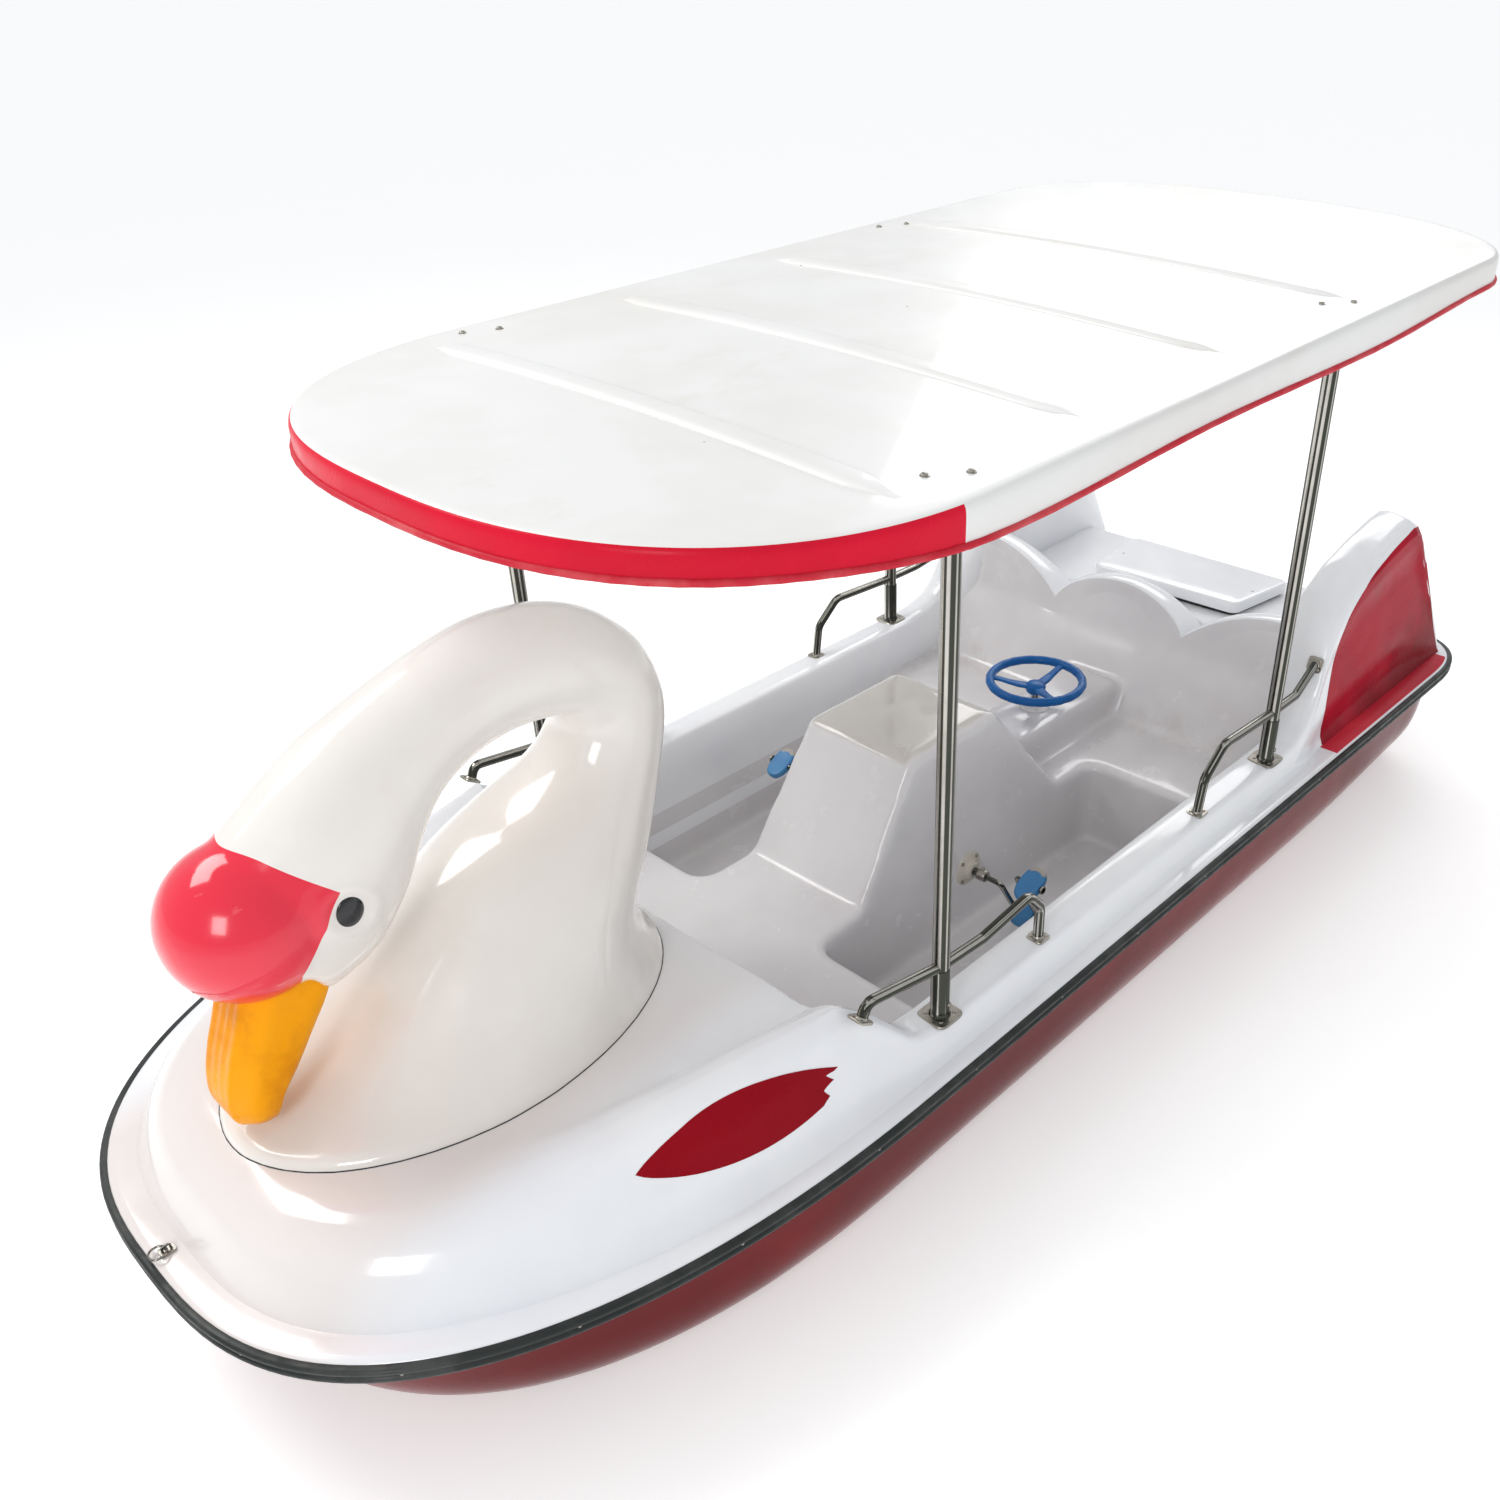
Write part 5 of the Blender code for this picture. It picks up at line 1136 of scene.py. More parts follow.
# ---------------------------------------------------------------- swan
BREAST = (
    ((-1.775, 0.085), (-0.362, 0.090), 0.496), ((-1.755, 0.130), (-0.372, 0.135), 0.492),
    ((-1.70, 0.143), (-0.400, 0.170), 0.477), ((-1.60, 0.175), (-0.432, 0.225), 0.452),
    ((-1.47, 0.245), (-0.446, 0.300), 0.415), ((-1.34, 0.345), (-0.415, 0.390), 0.365),
    ((-1.20, 0.470), (-0.343, 0.490), 0.315), ((-1.05, 0.592), (-0.285, 0.600), 0.262),
    ((-0.90, 0.660), (-0.245, 0.700), 0.222), ((-0.76, 0.705), (-0.218, 0.790), 0.195),
    ((-0.64, 0.775), (-0.208, 0.870), 0.178),
)
NECK = (
    (-0.389, 0.905, 12.0, 0.176, 0.172), (-0.420, 1.000, 21.0, 0.173, 0.172),
    (-0.480, 1.060, 37.0, 0.171, 0.171), (-0.555, 1.103, 54.0, 0.171, 0.171),
    (-0.665, 1.132, 74.0, 0.168, 0.168), (-0.800, 1.134, 90.0, 0.165, 0.165),
    (-0.900, 1.115, 98.0, 0.163, 0.164), (-0.995, 1.085, 106.0, 0.166, 0.167),
    (-1.095, 1.038, 115.0, 0.180, 0.176), (-1.190, 0.972, 122.0, 0.212, 0.190),
    (-1.275, 0.888, 126.0, 0.246, 0.201), (-1.350, 0.815, 126.0, 0.264, 0.205),
    (-1.420, 0.757, 123.0, 0.272, 0.206), (-1.500, 0.702, 119.0, 0.250, 0.192),
    (-1.530, 0.672, 117.0, 0.226, 0.180),
)
KNOB = (-1.562, 0.757)
KNOB_RADIUS = 0.2155
EYE_SPOT = (0.200, -1.373, 0.772)


def oval(section):
    """A ring round the swan's body or neck."""
    centre_y, centre_z, lean, depth, width = section
    lean = math.radians(lean)
    ring = []
    for i in range(48):
        angle = 2.0 * math.pi * i / 48
        out = -depth * math.cos(angle)
        ring.append(place(width * math.sin(angle), centre_y + out * math.cos(lean),
                          centre_z + out * math.sin(lean)))
    return ring


def make_swan(tree):
    sections = []
    for (front_y, front_z), (rear_y, rear_z), half in BREAST:
        lean = math.degrees(math.atan2(rear_z - front_z, rear_y - front_y))
        depth = math.hypot(rear_y - front_y, rear_z - front_z) / 2
        sections.append(((front_y + rear_y) / 2, (front_z + rear_z) / 2, lean, depth, half))
    sections += list(NECK)
    scaled = [(y, z, lean / 100.0, depth, width) for y, z, lean, depth, width in sections]
    smooth = [(y, z, lean * 100.0, depth, width) for y, z, lean, depth, width in spline(scaled, 4)]
    body = loft([oval(section) for section in smooth])
    rings = []
    for k in range(1, 24):
        angle = math.pi * k / 24
        radius = KNOB_RADIUS * math.sin(angle)
        rings.append([place(radius * math.cos(turn), KNOB[0] - KNOB_RADIUS * math.cos(angle),
                            KNOB[1] + radius * math.sin(turn))
                      for turn in turns(40)])
    swan = add_mesh("swan", [body, loft(rings)], [SWAN])
    fuse(swan, 0.0075, 9, 0.5)

    co = np.empty(len(swan.data.vertices) * 3)
    normal = np.empty_like(co)
    swan.data.vertices.foreach_get("co", co)
    swan.data.vertices.foreach_get("normal", normal)
    co = co.reshape(-1, 3)
    normal = normal.reshape(-1, 3)
    for side, _ in SIDES:
        spot = np.array(place(EYE_SPOT[0] * side, EYE_SPOT[1], EYE_SPOT[2]))
        offset = co - spot
        along_head = offset[:, 1] * 0.80 - offset[:, 2] * 0.60
        over_head = offset[:, 1] * 0.60 + offset[:, 2] * 0.80
        far = np.sqrt((along_head / 0.040) ** 2 + (over_head / 0.030) ** 2 + (offset[:, 0] / 0.05) ** 2)
        push = -0.0085 * np.exp(-(far ** 2) * 0.9) + 0.0038 * np.exp(-((far - 1.50) ** 2) * 8.0)
        co += normal * push[:, None]
        crease = np.hypot(offset[:, 1] - 0.055 + 0.25 * offset[:, 2], 0.0) / 0.016
        on_cheek = np.exp(-((offset[:, 2] + 0.055) / 0.05) ** 2) * (offset[:, 0] * side > -0.06)
        co -= normal * (0.0035 * np.exp(-crease ** 2) * on_cheek)[:, None]
    swan.data.vertices.foreach_set("co", co.ravel())
    swan.data.update()
    settle(swan, "boat", "white_gelcoat", "swan_figure")
    swan_tree = surface_tree(swan)

    for side, label in SIDES:
        out = Vector((side, 0.12, -0.06)).normalized()
        spot = place(EYE_SPOT[0] * side, EYE_SPOT[1], EYE_SPOT[2])
        hit, _, _, _ = swan_tree.ray_cast(spot + out * 0.2, -out)
        spot = hit if hit is not None else spot
        turn = out.to_track_quat("Z", "Y").to_matrix()
        rings = []
        for k in range(13):
            angle = math.pi / 2 * k / 12
            if k < 12:
                wide, tall = 0.0285 * math.cos(angle), 0.0340 * math.cos(angle)
                deep = 0.0095 * math.sin(angle)
            else:
                wide, tall, deep = 0.0006, 0.0006, 0.0095
            rings.append([spot + turn @ Vector((wide * math.cos(a), tall * math.sin(a), deep))
                          for a in turns(32)])
        rings.insert(0, [spot + (point - spot) * 0.9 - out * 0.006 for point in rings[0]])
        piece(f"eye_{label}", [loft(rings)], EYE, "eye_black", [f"swan_eye_{label}"])

    path = []
    for angle in turns(120):
        direction = Vector((math.sin(angle), -math.cos(angle), 0.0))
        centre = place(0.0, -1.06, 0.0)
        inner, outer = 0.1, 0.75
        for _ in range(22):
            mid = (inner + outer) / 2
            start = centre + direction * mid + Vector((0, 0, 1.5))
            deck_hit = tree.ray_cast(start, Vector((0, 0, -1)))[0]
            level = deck_hit.z if deck_hit is not None else place(0, 0, DECK_Z).z
            test = centre + direction * 0.76
            test.z = level + 0.0005
            swan_hit = swan_tree.ray_cast(test, -direction)[0]
            reach = (swan_hit - centre).xy.length if swan_hit is not None else 0.3
            if mid < reach:
                inner = mid
            else:
                outer = mid
        point = centre + direction * (inner + outer) / 2
        point.z = level + 0.0004
        path.append(point)
    piece("swan_joint", [tube(path, 0.0016, 8, True)], RUBBER, "black_rubber")


def make_beak():
    stations = (
        ((-1.610, 0.680), (-1.400, 0.640), 0.116), ((-1.650, 0.590), (-1.420, 0.575), 0.126),
        ((-1.690, 0.490), (-1.450, 0.515), 0.129), ((-1.730, 0.395), (-1.518, 0.420), 0.129),
        ((-1.755, 0.310), (-1.580, 0.335), 0.128), ((-1.760, 0.255), (-1.624, 0.275), 0.121),
        ((-1.752, 0.220), (-1.645, 0.232), 0.110), ((-1.738, 0.196), (-1.655, 0.206), 0.095),
    )
    rows = []
    for index, (front, back, half) in enumerate(stations):
        depth = math.hypot(back[0] - front[0], back[1] - front[1])
        flute = max(0.0, 0.005 - 0.0009 * index)
        ring = [(0.0, flute), (0.14, 0.0), (0.30, flute), (0.44, 0.0), (0.52, 0.002), (0.58, 0.008),
                (0.74, 0.022),
                (0.88, 0.036), (0.95, 0.048), (0.99, 0.066)]
        ring += [(1.0, 0.075 + (depth - 0.075) * 0.35), (0.99, 0.075 + (depth - 0.075) * 0.70),
                 (0.95, depth * 0.90), (0.88, depth * 0.99), (0.70, depth), (0.0, depth)]
        ring = [tuple(point) for point in spline(ring, 3)]
        ring += [(-width, reach) for width, reach in ring[-2:0:-1]]
        row = []
        for width, reach in ring:
            share = reach / depth
            row.append(place(half * width, front[0] + (back[0] - front[0]) * share,
                             front[1] + (back[1] - front[1]) * share))
        rows.append(row)
    count = len(rows[0])
    smooth = []
    columns = [spline([tuple(row[i]) for row in rows], 4) for i in range(count)]
    for k in range(len(columns[0])):
        smooth.append([Vector(columns[i][k]) for i in range(count)])
    centre = sum(smooth[-1], Vector()) / count
    for shrink, drop in ((0.75, 0.0022), (0.4, 0.0034), (0.1, 0.0038)):
        smooth.append([centre + (point - centre) * shrink - Vector((0, 0, drop)) for point in rows[-1]])
    piece("beak", [loft(smooth)], BEAK, "beak_paint", ["swan_beak"], sharp=60.0)


# ---------------------------------------------------------------- canopy
def canopy_outline():
    """The canopy's outline, with a point where the red band ends."""
    bow = [point for point in bow_points(CANOPY_HALF, CANOPY_BOW, 0.0, 40, (2.1, 2.5))
           if abs(point[1] - BAND_END) > 0.01]
    band = CANOPY_HALF * (1.0 - (BAND_END / CANOPY_BOW) ** 2.1) ** 0.4
    port = [(0.0, CANOPY_BOW)] + sorted(bow + [(band, BAND_END)], key=lambda point: point[1])
    port += [(CANOPY_HALF, y) for y in np.arange(0.1, 2.95, 0.15)]
    port += stern_points(CANOPY_HALF, CANOPY_STERN, 3.0, 24, (2.0, 3.6))
    port.append((0.0, CANOPY_STERN))
    return port + [(-x, y) for x, y in reversed(port[1:-1])]


def canopy_top(x, y):
    level = 1.713 + 0.095 * (y - CANOPY_BOW) / (CANOPY_STERN - CANOPY_BOW)
    return level + 0.035 * (1.0 - (x / CANOPY_HALF) ** 2) - 0.02 * x


def skirt_depth(y):
    return along([(-0.6, 0.073), (0.2, 0.11), (1.0, 0.095), (2.1, 0.115), (3.0, 0.09)], y)


def make_canopy():
    rows = []
    for share, inset, drop in ((0, 0.0, 1.0), (0, 0.0, 0.70), (0, 0.0, 0.45), (0, 0.0005, 0.28),
                               (0, 0.003, 0.14),
                               (0, 0.009, 0.05), (0, 0.020, 0.008), (0, 0.035, 0.0), (0, 0.07, 0.0),
                               (0.15, 0, 0),
                               (0.3, 0, 0), (0.5, 0, 0), (0.7, 0, 0), (0.9, 0, 0)):
        row = []
        for x, y in canopy_outline():
            inward = Vector((0.0, min(max(y, 0.0), 2.6))) - Vector((x, y))
            inward *= share + inset / inward.length
            x += inward.x
            y += inward.y
            row.append(place(x, y, canopy_top(x, y) - drop * skirt_depth(y)))
        rows.append(row)
    points, faces = loft(rows, caps=False)
    count = len(rows[0])
    outline = canopy_outline()
    slots = []
    for r in range(len(rows) - 1):
        for i in range(count):
            ahead = outline[i][1] <= BAND_END + 1e-6 and outline[(i + 1) % count][1] <= BAND_END + 1e-6
            slots.append(1 if ahead and r < 5 else 0)
    extra = fill_across(len(points) - count, count)
    slots += [0] * len(extra)
    roof = add_mesh("canopy", [(points, faces + extra, slots)], [ROOF, BAND_RED])
    if max(roof.data.polygons, key=lambda face: face.center.z).normal.z < 0:
        roof.data.flip_normals()
    shell(roof, 0.006)
    settle(roof, "boat", "white_gelcoat", "canopy_roof")

    path = [place(x, y, canopy_top(x, y) - skirt_depth(y) - 0.0095) for x, y in canopy_outline()]
    ridged = [0.0072 if i % 2 else 0.0066 for i in range(len(path))]
    piece("canopy_piping", [tube(path, ridged, 14, True)], PIPING, "red_trim", ["canopy_edge_trim"])

    for index, y in enumerate((-0.19, 0.56, 1.31, 2.12)):
        rings = []
        for x in spline([(-0.95,), (-0.82,), (-0.4,), (0.0,), (0.4,), (0.85,), (0.99,)], 6)[:, 0]:
            end = max(0.0, min(1.0, (x + 0.95) / 0.13, (0.99 - x) / 0.14))
            half = 0.012 + 0.036 * end
            tall = 0.0005 + 0.0120 * ease(0.0, 1.0, end * 1.3)
            shape = ((-1.0, -0.01), (-1.0, 0.0005), (-0.86, 0.45 * tall), (-0.66, tall * 0.94),
                     (-0.5, tall), (0.5, tall),
                     (0.66, tall * 0.94), (0.86, 0.45 * tall), (1.0, 0.0005), (1.0, -0.01))
            rings.append([place(x, y + dy * half, canopy_top(x, y + dy * half) + dz) for dy, dz in shape])
        piece(f"canopy_rib_{index + 1}", [loft(rings)], ROOF, "white_gelcoat", sharp=60.0)

    bolts = []
    for side, _ in SIDES:
        for y in (0.0, 2.038):
            for dx, dy in ((-0.035, -0.05), (0.03, 0.05)):
                x = side * 0.985 + dx
                spot = place(x, y + dy, canopy_top(x, y + dy))
                bolts.append(lathe([(0.0095, -0.002), (0.0095, 0.001), (0.0070, 0.0016), (0.0068, 0.0038),
                                    (0.0055, 0.0050),
                                    (0.0015, 0.0056)], spot, (0, 0, 1), 18))
    piece("canopy_bolts", bolts, WELD, "stainless_steel")


# ---------------------------------------------------------------- poles and rails
def make_poles():
    for side, label in SIDES:
        for end, y in (("front", 0.0), ("rear", 2.038)):
            node = f"canopy_pole_{end}_{label}"
            foot = place(side, y, 0.0)
            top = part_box(node)[1][2] - 0.001
            solids = [lathe([(0.019, 0.003), (0.019, top - foot.z - 0.008), (0.017, top - foot.z - 0.006)],
                            foot)]
            for solid in foot_plate(foot, (0, 0, 1), 0.0435, 0.005):
                solids.append((*solid, 1))
            collar = [(0.0190, 0.004), (0.0245, 0.006), (0.0225, 0.010), (0.0212, 0.016), (0.0212, 0.128),
                      (0.0203, 0.131),
                      (0.0190, 0.1315)]
            solids.append((*lathe(collar, foot), 0))
            for plate in foot_plate(Vector((foot.x, foot.y, top - 0.006)), (0, 0, 1), 0.031, 0.005, 0):
                solids.append((*plate, 1))
            pin = foot + Vector((0, 0.0205, 0.112))
            solids.append((*lathe([(0.0058, 0.0), (0.0058, 0.006), (0.0044, 0.0075), (0.0015, 0.008)], pin,
                                  (0.25 * side, 1, 0), 16), 1))
            pin = foot + Vector((side * 0.0205, 0.006, 0.036))
            solids.append((*screw_head(pin, (side, 0.3, 0), 0.006, 0.004), 1))
            piece(f"{node}_tube", solids, STEEL_PAIR, "stainless_steel", [node])


def make_rails():
    for side, label in SIDES:
        runs = (
            ("front_rail_fore",
             [(0.984 * side, -0.340, 0.190), (0.986 * side, -0.315, 0.243), (side, 0.0, 0.192)], 0.022,
             (0.984 * side, -0.343, 0.196), (0.0, 0.51, 0.86)),
            ("front_rail_aft",
             [(side, 0.0, 0.192), (side, 0.20, 0.178), (side, 0.44, 0.208), (side, 0.51, 0.13),
                                (side, 0.51, 0.0)], 0.036, (side, 0.51, 0.0), (0.0, 0.0, 1.0)),
            ("rear_rail_fore",
             [(side, 1.517, 0.0), (side, 1.54, 0.14), (side, 1.66, 0.237), (side, 2.038, 0.217)], 0.048,
             (side, 1.517, 0.0), (0.0, 0.0, 1.0)),
            ("rear_rail_aft", [(side, 2.038, 0.217), (side, 2.22, 0.216), (0.970 * side, 2.431, 0.262)],
             0.045,
             (0.970 * side, 2.433, 0.262), (0.0, -0.949, 0.316)),
        )
        for name, corners, radius, foot, normal in runs:
            path = bent([place(*corner) for corner in corners], radius)
            solids = [tube(path, 0.0125, 24)]
            base = place(*foot)
            for solid in foot_plate(base, normal, 0.0245, 0.004):
                solids.append((*solid, 1))
            weld = [(0.0155, 0.003), (0.0150, 0.006), (0.0126, 0.009)]
            solids.append((*lathe(weld, base, normal, 24), 1))
            piece(f"{name}_{label}_tube", solids, STEEL_PAIR, "stainless_steel", [f"{name}_{label}"])


# ---------------------------------------------------------------- drive and steering
def crank_point(x, throw):
    axis = middle("paddle_axle")
    lean = math.radians(31.0)
    return Vector((x, axis.y - throw * math.sin(lean), axis.z + throw * math.cos(lean)))


def make_drive():
    throw = 0.115
    for side, label in SIDES:
        inner = abs(middle(f"pedal_inner_{label}").x)
        outer = abs(middle(f"pedal_outer_{label}").x)
        web = (inner + outer) / 2
        start = 0.245
        corners = [crank_point(side * x, t) for x, t in (
            (start, 0.0), (inner - 0.046, 0.0), (inner - 0.046, -throw), (web, -throw), (web, throw),
            (outer + 0.041, throw))]
        solids = [tube(bent(corners, 0.012, 6), 0.008, 20)]
        hub = crank_point(side * 0.250, 0.0)
        solids.append((*lathe([(0.0085, 0.0), (0.0165, 0.001), (0.0165, 0.024), (0.0150, 0.026),
                               (0.0085, 0.0262)], hub,
                              (side, 0, 0), 28), 1))
        solids.append((*lathe([(0.0048, 0.0), (0.0048, 0.010), (0.0035, 0.012), (0.001, 0.0122)],
                              hub + Vector((side * 0.012, 0.0, 0.013)), (0, 0.2, 1), 12), 1))
        for x, t in ((inner + 0.036, -throw), (outer + 0.036, throw)):
            if x < web or t > 0:
                cap = crank_point(side * x, t)
                solids.append((*lathe([(0.0085, 0.0), (0.0115, 0.0006), (0.0115, 0.0045), (0.0085, 0.005)],
                                      cap,
                                      (side, 0, 0), 20), 1))
        piece(f"crank_arm_{label}", solids, STEEL_PAIR, "stainless_steel", [f"crank_{label}"], "crankset")

        bearing = middle(f"crank_bearing_{label}")
        low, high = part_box(f"crank_bearing_{label}")
        wall = low[0] if side > 0 else high[0]
        seat = Vector((wall, bearing.y, bearing.z))
        profile = [(0.0131, -0.004), (0.052, -0.004), (0.052, 0.003), (0.049, 0.006), (0.036, 0.008),
                   (0.027, 0.012),
                   (0.0255, 0.024), (0.023, 0.026), (0.0131, 0.026)]
        solids = [(lathe(profile, seat, (side, 0, 0), 40)[0], loft(
            [[(0, 0, 0)] * 40] * len(profile), caps=False, closed_rows=True)[1])]
        for k in range(4):
            angle = math.pi / 4 + math.pi / 2 * k
            spot = seat + Vector((side * 0.005, 0.042 * math.cos(angle), 0.042 * math.sin(angle)))
            solids.append((*lathe([(0.0055, 0.0), (0.0055, 0.004), (0.004, 0.0055), (0.001, 0.0058)], spot,
                                  (side, 0, 0), 12), 1))
        piece(f"bearing_{label}", solids, [NYLON, WELD], "bearing_nylon", [f"crank_bearing_{label}"])

        for kind, t in (("inner", -throw), ("outer", throw)):
            node = f"pedal_{kind}_{label}"
            make_pedal(node, crank_point(middle(node).x, t))


def make_pedal(node, pin):
    """An oval pedal with cross ribs and a grey grip at its lower end, bored for its pin."""
    tilt = Matrix.Rotation(math.radians(28.0), 3, "X")
    width, length, height = 0.066, 0.105, 0.022

    def ring(scale, z):
        made = []
        for k in range(36):
            angle = 2.0 * math.pi * k / 36
            x = math.copysign(abs(math.cos(angle)) ** 0.75, math.cos(angle)) * width / 2 * scale
            y = math.copysign(abs(math.sin(angle)) ** 0.85, math.sin(angle)) * length / 2 * scale
            made.append(pin + tilt @ Vector((x, y, z)))
        return made

    levels = ((0.82, -0.5), (0.93, -0.46), (0.99, -0.32), (1.0, 0.0), (0.99, 0.30), (0.94, 0.44),
              (0.85, 0.5), (0.72, 0.46))
    points, faces = loft([ring(scale, z * height) for scale, z in levels])
    slots = []
    for face in faces:
        centre = sum((Vector(points[i]) for i in face), Vector()) / len(face)
        local = tilt.inverted() @ (centre - pin)
        slots.append(1 if local.y > 0.034 else 0)
    solids = [(points, faces, slots)]
    for k in range(5):
        y = -0.034 + 0.0165 * k
        reach = width / 2 * 0.80 * math.sqrt(max(0.05, 1.0 - (y / (length / 2)) ** 2))
        path = [pin + tilt @ Vector((x, y, height * 0.47)) for x in np.linspace(-reach, reach, 7)]
        solids.append((*tube(path, [0.0008, 0.0016, 0.0019, 0.0019, 0.0019, 0.0016, 0.0008], 10), 0))
    pedal = add_mesh(f"{node}_body", solids, [PEDAL_BLUE, PEDAL_GREY])
    reach = Vector((0.05, 0, 0))
    carve(pedal, add_mesh("bore", [tube([pin - reach, pin + reach], 0.0088, 24)], []))
    settle(pedal, node, "blue_plastic", node)


def make_steering():
    low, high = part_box("steering_wheel")
    centre = middle("steering_wheel")
    radius = (high[0] - low[0]) / 2 - 0.0135
    level = high[2] - 0.0135
    path = [Vector((centre.x + radius * math.cos(a), centre.y + radius * math.sin(a), level))
            for a in turns(120)]
    grips = [0.0133 - 0.0007 * (0.5 + 0.5 * math.cos(20 * a)) ** 4
             for a in turns(120)]
    solids = [tube(path, grips, 22, True)]
    hub = Vector((centre.x, centre.y, level - 0.0395))
    solids.append(lathe([(0.0108, 0.0), (0.024, 0.001), (0.028, 0.006), (0.031, 0.018), (0.030, 0.026),
                         (0.024, 0.031),
                         (0.012, 0.0335), (0.001, 0.034)], hub))
    for k in range(3):
        angle = math.radians(90.0 + 120.0 * k)
        outward = Vector((math.cos(angle), math.sin(angle), 0.0))
        across = Vector((-math.sin(angle), math.cos(angle), 0.0))
        rings = []
        for s, half, deep, drop in ((0.0, 0.016, 0.0055, -0.019), (0.25, 0.0155, 0.0055, -0.017),
                                    (0.5, 0.0120, 0.0052, -0.012),
                                    (0.75, 0.0105, 0.0050, -0.005), (1.0, 0.0125, 0.0055, 0.0)):
            mid = Vector((centre.x, centre.y, level + drop)) + outward * (0.020 + (radius - 0.020) * s)
            rings.append([mid + across * half * math.copysign(abs(math.cos(a)) ** 0.6, math.cos(a))
                          + Vector((0, 0, deep * math.copysign(abs(math.sin(a)) ** 0.6, math.sin(a))))
                          for a in turns(20)])
        solids.append(loft(rings))
    piece("helm_wheel", solids, BLUE, "blue_plastic", ["steering_wheel"], "helm")

    low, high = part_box("steering_column")
    foot = Vector((centre.x, centre.y, low[2]))
    solids = [lathe([(0.0108, -0.004), (0.046, -0.004), (0.046, 0.003), (0.040, 0.0065), (0.026, 0.012),
                     (0.0225, 0.028),
                     (0.020, 0.030), (0.0108, 0.030)], foot)]
    solids[0] = (solids[0][0], loft([[(0, 0, 0)] * 40] * 8, caps=False, closed_rows=True)[1])
    for k in range(4):
        angle = math.pi / 4 + math.pi / 2 * k
        spot = foot + Vector((0.036 * math.cos(angle), 0.036 * math.sin(angle), 0.0065))
        solids.append((*screw_head(spot, (0, 0, 1), 0.0038, 0.002), 1))
    piece("column_boss", solids, [LINER, WELD], "bearing_nylon", ["steering_column"])


def make_bow_ring():
    low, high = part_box("tow_pad_eye")
    mid = middle("tow_pad_eye")
    base = low[2]
    corners = [(-0.011, -0.015), (0.011, -0.015), (0.011, 0.015), (-0.011, 0.015)]
    outline = rounded(corners, 0.004, 4)
    rings = [[(mid.x + x * s, mid.y + y * s, base + z) for x, y in outline]
             for s, z in ((1.0, -0.001), (1.0, 0.0018), (0.95, 0.0025), (0.2, 0.0025))]
    solids = [(*loft(rings), 1)]
    legs = ((-0.008, 0.0), (-0.008, 0.0132), (0.008, 0.0132), (0.008, 0.0))
    staple = bent([Vector((mid.x, mid.y + dy, base + dz)) for dy, dz in legs], 0.0055, 6)
    solids.append(tube(staple, 0.0025, 14))
    for dx in (-0.0065, 0.0065):
        spot = Vector((mid.x + dx, mid.y, base + 0.0025))
        solids.append((*screw_head(spot, (0, 0, 1), 0.0026, 0.0014), 1))
    piece("pad_eye", solids, STEEL_PAIR, "stainless_steel", ["tow_pad_eye"])
    low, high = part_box("tow_ring")
    centre = middle("tow_ring")
    radius = (high[0] - low[0]) / 2 - 0.0022
    path = [centre + Vector((radius * math.cos(a), radius * math.sin(a), 0.0))
            for a in turns(56)]
    piece("mooring_ring", [tube(path, 0.0022, 14, True)], STEEL, "stainless_steel", ["tow_ring"], "tow_ring")


def dress_frame_nodes():
    """Fine finishes for the hidden parts that keep their CAD shapes."""
    finishes = {"steering_shaft": STEEL, "steering_arm": ZINC, "link_rod": ZINC, "tiller_arm": ZINC,
                "rudder": ZINC,
                "rudder_tube": NYLON, "paddle_axle": STEEL, "paddle_wheel": ZINC}
    for name, surface in finishes.items():
        for entry in frame["nodes"][name].material_slots:
            entry.material = surface


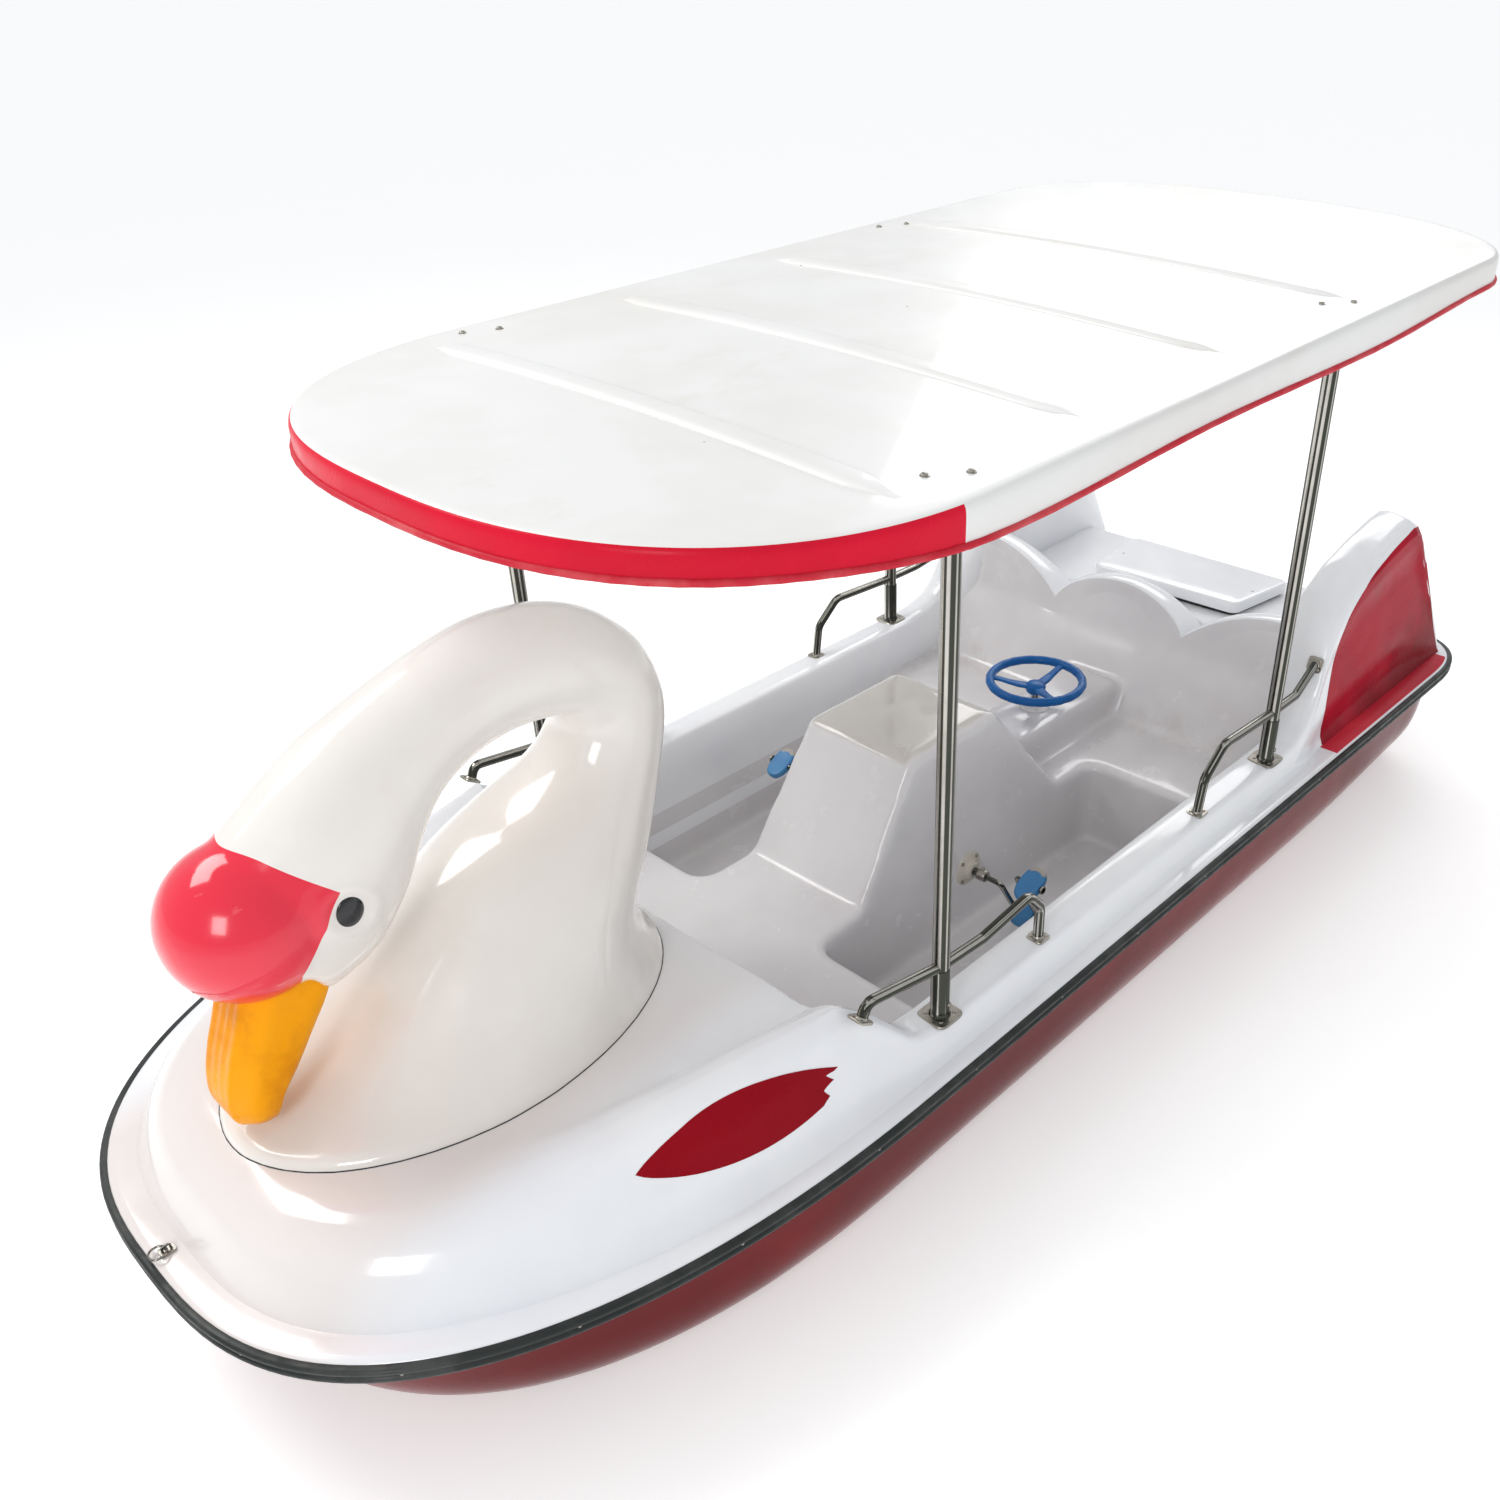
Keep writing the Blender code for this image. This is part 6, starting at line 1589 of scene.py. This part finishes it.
# ---------------------------------------------------------------- studio
def make_stage():
    net = Net("floor_paper")
    net.set(Base_Color=net.mix(net.noise(2.0, 3.0), (0.90, 0.90, 0.895), (0.93, 0.93, 0.925)),
            Roughness=net.span(net.noise(30.0), 0.3, 0.7, 0.75, 0.9))
    net.shader.inputs["Emission Color"].default_value = (1.0, 1.0, 1.0, 1.0)
    net.shader.inputs["Emission Strength"].default_value = 0.34
    rings = [[(600 * math.cos(a), 600 * math.sin(a), z)
              for a in turns(64)]
             for z in (-0.02, 0.0)]
    floor = add_mesh("studio_floor", [loft(rings)], [net.surface])

    world = bpy.data.worlds.new("studio")
    bpy.context.scene.world = world
    world.use_nodes = True
    background = world.node_tree.nodes["Background"]
    background.inputs["Color"].default_value = (0.96, 0.98, 1.0, 1.0)
    background.inputs["Strength"].default_value = 0.68

    def area(name, spot, aim, size, power, colour=(1.0, 1.0, 1.0)):
        data = bpy.data.lights.new(name, "AREA")
        data.shape = "RECTANGLE"
        data.size, data.size_y = size
        data.energy = power
        data.color = colour
        light = bpy.data.objects.new(name, data)
        bpy.context.scene.collection.objects.link(light)
        light.location = spot
        light.rotation_euler = (Vector(aim) - Vector(spot)).to_track_quat("-Z", "Y").to_euler()

    area("sky_key", (-3.2, -2.6, 5.2), (0, -0.2, 0.4), (3.4, 2.0), 150.0, (1.0, 0.99, 0.97))
    area("sky_rear", (-1.5, 5.0, 4.0), (0, 0.9, 0.5), (4.0, 2.0), 85.0)
    area("window_bow", (2.4, -5.0, 3.2), (0, -1.2, 0.4), (1.4, 1.8), 60.0)


def make_camera():
    eye = place(2.9927, -2.4908, 2.8400)
    azimuth, elevation, roll = (math.radians(angle) for angle in (43.956, 31.815, -1.299))
    back = Vector((math.sin(azimuth) * math.cos(elevation), -math.cos(azimuth) * math.cos(elevation),
                   math.sin(elevation)))
    right = (-back).cross(Vector((0, 0, 1))).normalized()
    up = right.cross(-back)
    across = right * math.cos(roll) + up * math.sin(roll)
    upright = up * math.cos(roll) - right * math.sin(roll)
    data = bpy.data.cameras.new("camera")
    data.sensor_width = 36.0
    data.lens = 32.59
    data.shift_x = -0.0593
    data.shift_y = 0.0183
    camera = bpy.data.objects.new("camera", data)
    bpy.context.scene.collection.objects.link(camera)
    turn = Matrix((across, upright, back)).transposed().to_4x4()
    camera.matrix_world = Matrix.Translation(eye) @ turn
    bpy.context.scene.camera = camera


make_hull()
make_rubbing_strip()
make_flange()
deck_tree = make_deck()
make_paintwork(deck_tree)
make_liner()
make_rear_top()
make_hatch()
make_swan(deck_tree)
make_beak()
make_canopy()
make_poles()
make_rails()
make_drive()
make_steering()
make_bow_ring()
dress_frame_nodes()
make_stage()
make_camera()
bpy.context.scene.view_settings.view_transform = "Standard"
